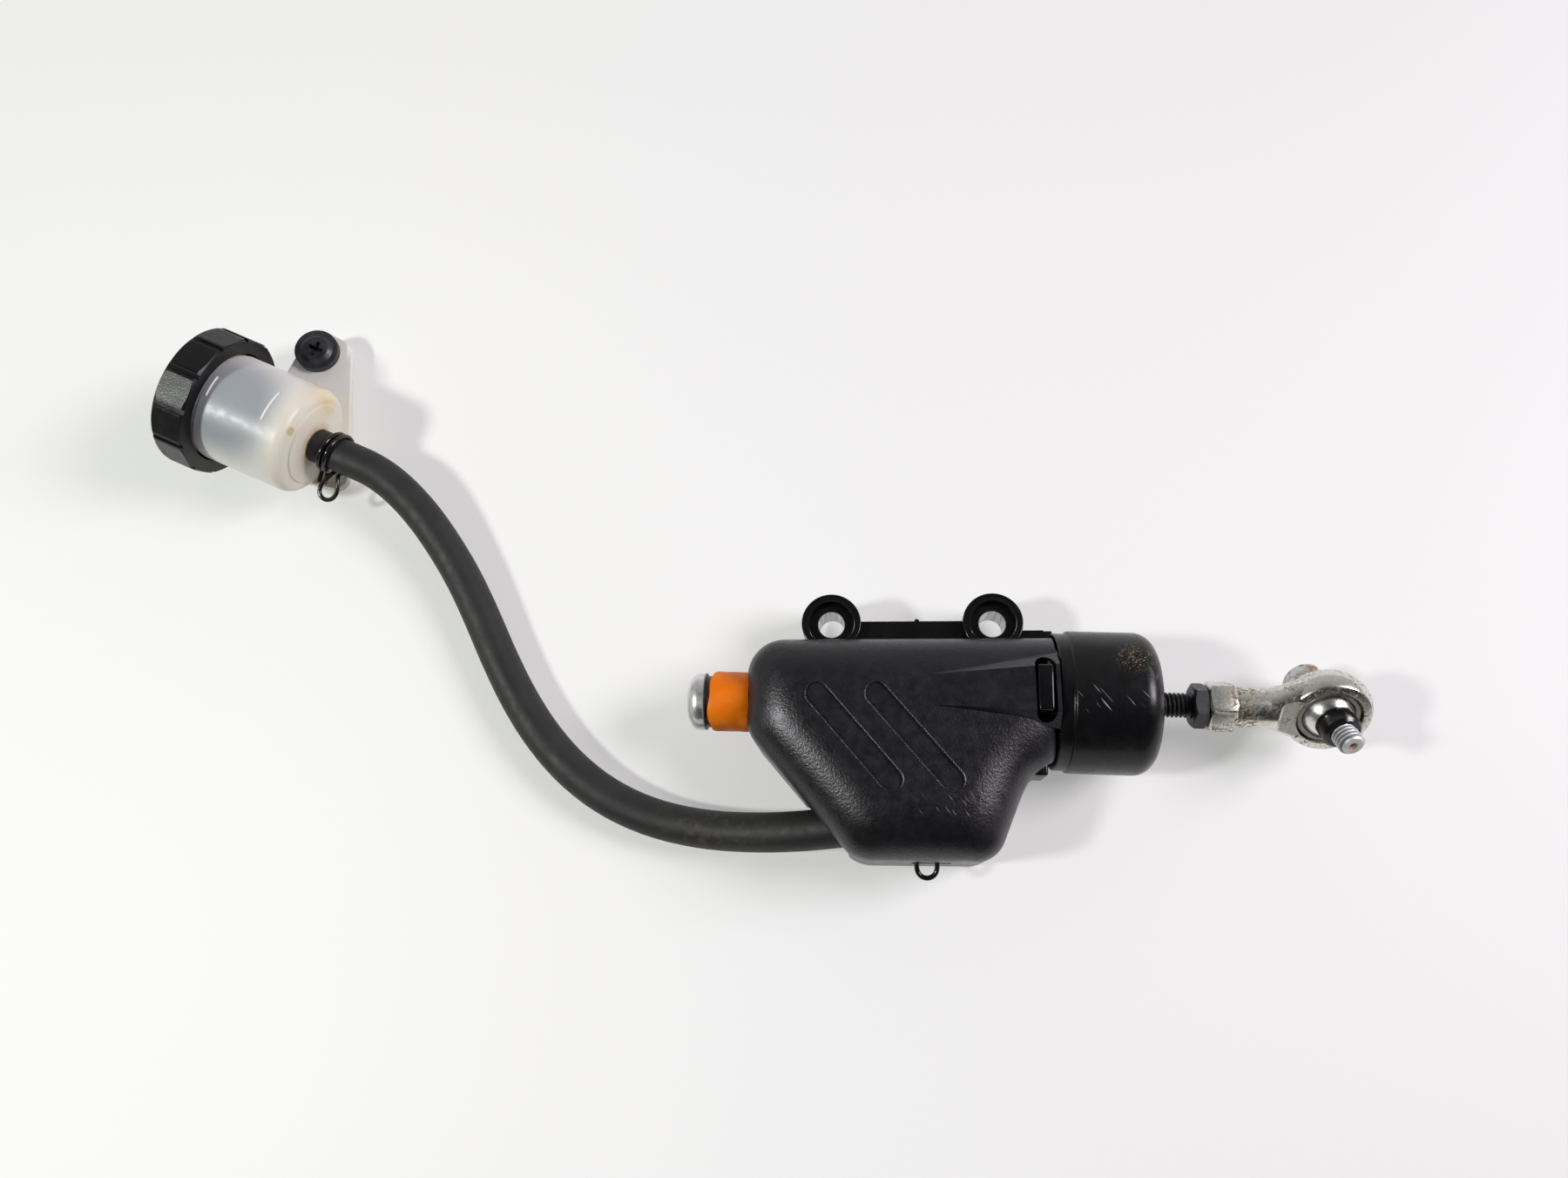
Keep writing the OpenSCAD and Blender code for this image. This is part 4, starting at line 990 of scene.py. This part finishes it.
cap_profile = [(CAP_FROM, FLANGE_ROOM_R), (CAP_FROM, COLLAR_R - 0.3), (CAP_FROM + 0.3, COLLAR_R)]
cap_profile += [(COLLAR_TO - EDGE, COLLAR_R), (COLLAR_TO - 0.2, COLLAR_R + 0.08), (COLLAR_TO, COLLAR_R + 0.3)]
cap_profile += [(COLLAR_TO + 0.2, CAP_R - 0.08), (COLLAR_TO + EDGE, CAP_R)]
cap_profile += arc(round_at, CAP_ROUND, 90, 0, 16)
cap_profile += arc((CAP_END - EDGE, CAP_HOLE_R + EDGE), EDGE, 0, -90, 4)
cap_profile.append((CAP_END - CAP_WALL, CAP_HOLE_R))
cap_profile += arc(round_at, CAP_ROUND - CAP_WALL, 0, 90, 10)
cap_profile += [(FLANGE_ROOM_TO, CAP_R - CAP_WALL), (FLANGE_ROOM_TO, FLANGE_ROOM_R)]
cap_parts = [lathe("end_cup", cap_profile, ON_CAP @ ALONG_X, 128, True)]
for angle, top in HOOK_TOPS:
    place = ON_CAP @ turn("X", angle)
    hook_blocks = (
        (HOOK_FROM, HOOK_TO, top, 0.55),
        (HOOK_FROM + 0.4, HOOK_LAP, HOOK_LOW + TONGUE_T, 0.25),
        (CAP_FROM + 0.2, HOOK_LAP, COLLAR_R - 1, 0.25))
    for start, end, height, ease in hook_blocks:
        solid = block("hook", (start, -HOOK_HALF, HOOK_LOW), (end, HOOK_HALF, height), place)
        cap_parts.append(eased(solid, ease))
end_cap = join("end_cap_cup", cap_parts)
shade(end_cap, 40)
fit(end_cap, "cylinder", ["end_cap"], "end_plastic")

# End of the casting's web, tucked in beside the end cap
WEB_END = ((31.8, -5.6, 2.2), (34.7, -1.6, 7.9))
web_end = eased(block("web_end", *WEB_END), 0.35)
shade(web_end, 40)
fit(web_end, "cylinder", [], "body_paint")

# Eased rims of the mounting bosses and of their seats
BOSS_TOP = 10.6
RIM_RS = (7.15, 5.7)
RIM_SECTION = ((-0.02, -0.25), (0.12, -0.22), (0.17, 0), (0.12, 0.17), (-0.12, 0.26))
rims = []
for x in BOSS_XS:
    for radius in RIM_RS:
        ring = [(height, radius + side) for height, side in RIM_SECTION]
        rims.append(lathe("rim", ring, shift(x, 0, BOSS_TOP), 72, True))
boss_rims = join("boss_rims", rims)
shade(boss_rims, 60)
fit(boss_rims, "cylinder", [], "body_paint")

# Outlet plug: a dull domed head, stepped in under the sleeve
PLUG_BACK = -46.0
PLUG_NECK = -50.1
PLUG_DOME = -52
PLUG_TIP = -55.1
PLUG_HEAD_R = 6.95
PLUG_NECK_R = 6.3
PLUG_STEPS = 12
PLUG_FULLNESS = 0.62
plug_profile = [(PLUG_BACK, 0), (PLUG_BACK, PLUG_NECK_R), (PLUG_NECK, PLUG_NECK_R)]
plug_profile += [(PLUG_NECK - 0.15, PLUG_HEAD_R - 0.2), (PLUG_NECK - 0.35, PLUG_HEAD_R)]
plug_profile.append((PLUG_DOME, PLUG_HEAD_R))
for step in range(1, PLUG_STEPS):
    angle = math.radians(90 * step / PLUG_STEPS)
    height = PLUG_DOME + (PLUG_TIP - PLUG_DOME) * math.sin(angle)
    plug_profile.append((height, PLUG_HEAD_R * math.cos(angle) ** PLUG_FULLNESS))
plug_profile.append((PLUG_TIP, 0))
plug = lathe("outlet_plug_head", plug_profile, ON_AXIS @ ALONG_X)
fit(plug, "cylinder", ["outlet_plug"], "bright_steel", made["plug_steel"])

# Race: a ring with eased faces, cut to the ball inside
RACE_R = 7.45
RACE_HALF = 3.0
RACE_SPHERE = 6.42
RACE_FACE_R = 6.15
RACE_MOUTH_R = 5.9
race_profile = [(RACE_HALF - 0.7, RACE_R), (RACE_HALF - 0.3, RACE_R - 0.35), (RACE_HALF, RACE_R - 0.6)]
race_profile += [(RACE_HALF, RACE_FACE_R), (RACE_HALF - 0.35, RACE_MOUTH_R)]
race_back = [(-height, radius) for height, radius in reversed(race_profile)]
for step in range(9):
    height = (RACE_HALF - 0.6) * (1 - step / 4)
    race_profile.append((height, math.sqrt(RACE_SPHERE ** 2 - height ** 2)))
race = lathe("race_ring", race_profile + race_back, ON_EYE, 96, True)
fit(race, "rod_eye", ["bearing_race"], "race_steel")

# Rod end: a forged eye and shank with soft blends, and a hexagon with eased edges
EYE_HALF = 3.4
EYE_R = 10.3
EYE_CROWN = 0.9
EYE_BORE_R = 7.5
SHANK_R = 4.75
SHANK_FROM = 42.6
NECK_FROM = 50
NECK_WIDEN = 50.5
NECK_RUN = 9
NECK_HALF = 8.2
SHANK_SIDES = 64
CREASE = 52.4
FLAT_TO = 70
FLAT_OUT = 9
FLAT_HALF = 14
HEX_R = 6.35
HEX_ROUND_R = 6.6
HEX_FACE_R = 5.2
HEX_FROM = 37
HEX_TO = 43.2
HEX_EASE = 0.8
ROD_HOLE_R = 3.05
eye_rim = EYE_R - EYE_CROWN - 0.2
eye_profile = [(-EYE_HALF, 0), (-EYE_HALF, eye_rim)]
for step in range(-8, 9):
    eye_profile.append((step / 8 * (EYE_HALF - 0.12), EYE_R - EYE_CROWN * (step / 8) ** 2))
eye_profile += [(EYE_HALF, eye_rim), (EYE_HALF, 0)]


def shank_solid():
    """Loft from the round shank, widening towards the eye."""
    points = []
    stations = [SHANK_FROM, 44, 46, 48] + [NECK_FROM + 0.5 * step for step in range(25)]
    for station in stations:
        part = min(1.0, max(0.0, (station - NECK_WIDEN) / NECK_RUN))
        wide = SHANK_R + (NECK_HALF - SHANK_R) * part * part * (3 - 2 * part)
        for step in range(SHANK_SIDES):
            angle = math.tau * step / SHANK_SIDES
            points.append((station, wide * math.cos(angle), SHANK_R * math.sin(angle)))
    rings = rows_of(SHANK_SIDES, len(stations))
    return build("shank", points, skin(rings) + [tuple(rings[0]), tuple(rings[-1])], ON_ROLL)


# The flats of the eye run on into the shank and end in a steep crease
forging = shank_solid()
flat = [(CREASE, SHANK_R + 0.1), (CREASE + 0.5, EYE_HALF + 0.5), (CREASE + 1.2, EYE_HALF)]
flat += [(FLAT_TO, EYE_HALF), (FLAT_TO, FLAT_OUT), (CREASE, FLAT_OUT)]
for flat_side in (flat, [(x, -z) for x, z in flat]):
    carve(forging, [prism("flat", flat_side, -FLAT_HALF, FLAT_HALF, ON_ROLL @ turn("X", 90))])
carve(forging, [lathe("eye_solid", eye_profile, ON_EYE, 128)], "UNION")
carve(forging, [lathe("eye_bore", rod(-9, 9, EYE_BORE_R), ON_EYE, 128)])
collar = prism("collar", hexagon(HEX_R), HEX_FROM, HEX_TO, ON_ROLL @ ALONG_X @ turn("Z", 30))
turned = [(HEX_FROM, 0), (HEX_FROM, HEX_FACE_R), (HEX_FROM + HEX_EASE, HEX_ROUND_R)]
turned += [(HEX_TO - HEX_EASE, HEX_ROUND_R), (HEX_TO, HEX_FACE_R), (HEX_TO, 0)]
carve(collar, [lathe("turned", turned, ON_ROLL @ ALONG_X)], "INTERSECT")
eased(collar, 0.25, 2)
for metal_part in (forging, collar):
    carve(metal_part, [lathe("rod_bore", rod(30, 52, ROD_HOLE_R), ON_ROD @ ALONG_X)])
rod_eye = join("rod_end_forged", [forging, collar])
shade(rod_eye, 32)
fit(rod_eye, "rod_eye", ["rod_end"], "zinc_steel")

# Orange sleeve: a soft tube with an uneven edge, pulled over the neck and the plug
SLEEVE_R = 7.45
SLEEVE_HOLE_R = SLEEVE_R - 0.98
SLEEVE_FROM = -49.5
SLEEVE_TO = -39.6
SLEEVE_SIDES = 72
SLEEVE_ROWS = 14
sleeve_points = []
for row in range(2 * SLEEVE_ROWS):
    outer = row < SLEEVE_ROWS
    part = (row if outer else 2 * SLEEVE_ROWS - 1 - row) / (SLEEVE_ROWS - 1)
    for step in range(SLEEVE_SIDES):
        angle = math.tau * step / SLEEVE_SIDES
        edge = SLEEVE_FROM + 0.45 + 0.35 * math.sin(2 * angle + 0.6) + 0.2 * math.sin(5 * angle)
        along = edge + (SLEEVE_TO - edge) * part
        wave = 0.10 * math.sin(3 * angle + 5 * part) + 0.06 * math.sin(7 * angle - 9 * part)
        lip_in = 0.25 * max(0.0, 1 - part / 0.07) + 0.2 * max(0.0, (part - 0.94) / 0.06)
        radius = SLEEVE_R - 0.17 + wave - lip_in if outer else SLEEVE_HOLE_R
        sleeve_points.append((along, radius * math.cos(angle), radius * math.sin(angle)))
sleeve_faces = skin(rows_of(SLEEVE_SIDES, 2 * SLEEVE_ROWS), True)
sleeve = build("plug_sleeve_soft", sleeve_points, sleeve_faces, ON_AXIS, 50)
fit(sleeve, "cylinder", ["plug_sleeve"], "sleeve_orange")

# Reservoir: a thin-walled cup with a stepped bottom, its nipple and its ear
RES_R = 15.1
RES_TOP = 25.7
RES_WALL = 1.8
RES_FLOOR = 2.0
RES_ROUND = 3.0
NECK_R = RES_R - 0.3
NECK_TOP = 30.0
NIPPLE_R = 2.9
NIPPLE_BORE = 1.8
NIPPLE_FROM = -12.0
STEP_R = 11.4
STEP_H = 0.6
EAR_T = 3.0
EAR_FROM = RES_R - EAR_T - 0.5
EAR_CORNERS = ((-28.2, 18.6, 5.9), (-28.6, 15.2, 5.3), (4.2, -3.9, 3.2), (4, 12, 6), (-9, 19, 5.5))
EAR_HOLE = (-27.4, 19.1)
EAR_HOLE_R = 3.3
bend_at = (STEP_H + RES_ROUND, RES_R - RES_ROUND)
cup_profile = [(NIPPLE_FROM, 0), (NIPPLE_FROM, NIPPLE_R), (-0.5, NIPPLE_R)]
cup_profile += [(-0.1, NIPPLE_R + 0.15), (0, NIPPLE_R + 0.5), (0, STEP_R - 0.5), (0.1, STEP_R - 0.15)]
cup_profile += [(STEP_H - 0.1, STEP_R), (STEP_H, STEP_R + 0.25)] + arc(bend_at, RES_ROUND, 180, 90, 12)
cup_profile += [(RES_TOP, RES_R), (RES_TOP, NECK_R), (NECK_TOP, NECK_R), (NECK_TOP, 0)]
reservoir = lathe("reservoir_cup", cup_profile, ON_RESERVOIR, 128)
ear = prism("ear", wrapped(EAR_CORNERS), EAR_FROM, EAR_FROM + EAR_T, ON_RESERVOIR @ FACE_X)
carve(reservoir, [eased(ear, 0.4, 2)], "UNION")
cavity = [(RES_FLOOR, 0)] + arc(bend_at, RES_ROUND - RES_WALL, 180, 90, 6)
cavity += [(NECK_TOP + 1, RES_R - RES_WALL), (NECK_TOP + 1, 0)]
hole_at = ON_RESERVOIR @ shift(0, *EAR_HOLE) @ ALONG_X
ear_hole = rod(EAR_FROM - 1, EAR_FROM + EAR_T + 1, EAR_HOLE_R)
nipple_bore = rod(NIPPLE_FROM - 1, RES_FLOOR + 2, NIPPLE_BORE)
carve(reservoir, [lathe("cavity", cavity, ON_RESERVOIR, 128), lathe("ear_hole", ear_hole, hole_at, 48)])
carve(reservoir, [lathe("nipple_bore", nipple_bore, ON_RESERVOIR, 48)])
shade(reservoir, 32)
fit(reservoir, "cylinder", ["reservoir"], "milky_plastic")

# Level lines on the reservoir, raised, in opaque white plastic as a painted highlight where they catch the
# light
LINE_R = 0.34
LINE_STEPS = 24
LEVEL_LINES = (("level_line_low", 8.5, 170, 204), ("level_line_high", 24.6, 170, 192))
for name, height, start, end in LEVEL_LINES:
    path = [polar(RES_R, start + (end - start) * step / LINE_STEPS, height) for step in range(LINE_STEPS + 1)]
    line = tube(name, path, LINE_R, ON_RESERVOIR, 8)
    fit(line, "cylinder", [], "milky_plastic", made["white_plastic"])

# Floor: its own tone and shadows near the object, painted shade darkening it to the right, and a pale glow
# further off
FLOOR_HALF = 1500.0
FLOOR_TOP = TABLE_Z - 0.05
FLOOR_GLOW = 0.36
GLOW_RUN = (300, 620)
SHADE_RUN = (-200, 250)
floor = block("floor", (-FLOOR_HALF, -FLOOR_HALF, FLOOR_TOP - 5), (FLOOR_HALF, FLOOR_HALF, FLOOR_TOP))
floor_mat = Graph("floor_white", 0.6)
floor_mat.paint(floor_mat.noise(8, 3), rgb(0.84, 0.84, 0.83), rgb(0.87, 0.87, 0.86))
# Painted shade: the floor's tone falls off towards the right
floor_mat.stain(floor_mat.past(ALONG_X, *SHADE_RUN), rgb(0.66, 0.65, 0.66))
pale = floor_mat.add("ShaderNodeEmission", {"Color": rgb(0.94, 0.935, 0.93), "Strength": 1.0})
rays = floor_mat.add("ShaderNodeLightPath").outputs
direct = floor_mat.most(rays["Is Camera Ray"], rays["Is Glossy Ray"])
direct = floor_mat.most(direct, rays["Is Transmission Ray"])
floor_glow = floor_mat.between(floor_mat.near((0, 0, 0), *GLOW_RUN), 1.0, FLOOR_GLOW)
surfaces = {1: floor_mat.shader.outputs["BSDF"], 2: pale.outputs["Emission"]}
surfaces[0] = floor_mat.times(direct, floor_glow)
floor_shader = floor_mat.add("ShaderNodeMixShader", surfaces)
floor_mat.feed(floor_mat.tree.nodes["Material Output"].inputs["Surface"], floor_shader.outputs["Shader"])
floor.data.materials.append(floor_mat.material)

# World: the room is bright low down, more so on the far side, and dark overhead
scene.world = bpy.data.worlds.new("studio")
scene.world.use_nodes = True
sky = Nodes(scene.world.node_tree)
facing = sky.add("ShaderNodeTexCoord").outputs["Generated"]
slope = sky.vector("DOT_PRODUCT", facing, (0.0, 0.7, -0.8), result="Value")
room = {"Value": slope, "From Min": -0.75, "From Max": 0.3, "To Min": 0.03, "To Max": 0.5}
room_light = sky.add("ShaderNodeMapRange", room).outputs["Result"]
sky_rays = sky.add("ShaderNodeLightPath").outputs
seen = sky.most(sky_rays["Is Camera Ray"], sky_rays["Is Transmission Ray"])
strength = sky.add("ShaderNodeMapRange", {"Value": seen, "To Min": room_light, "To Max": 0.95})
background = sky.tree.nodes["Background"].inputs
sky.feed(background["Color"], rgb(1.0, 1.0, 1.0))
sky.feed(background["Strength"], strength.outputs["Result"])


def lamp(name, place, aim, size, power, colour):
    """A square lamp, in metres."""
    data = bpy.data.lights.new(name, "AREA")
    data.shape = "SQUARE"
    data.size = size
    data.energy = power
    data.color = colour
    obj = placed(name, data)
    obj.location = place
    obj.rotation_euler = (Vector(aim) - Vector(place)).to_track_quat("-Z", "Y").to_euler()


lamp("left_lamp", (-0.685, -0.152, 0.73), (-0.03, 0, 0), size=0.1, power=5.9, colour=(0.96, 1.0, 0.95))
lamp("right_lamp", (0.66, 0.10, 0.56), (0, -0.02, 0), size=0.34, power=7.1, colour=(1.0, 0.94, 1.0))

bpy.context.view_layer.update()
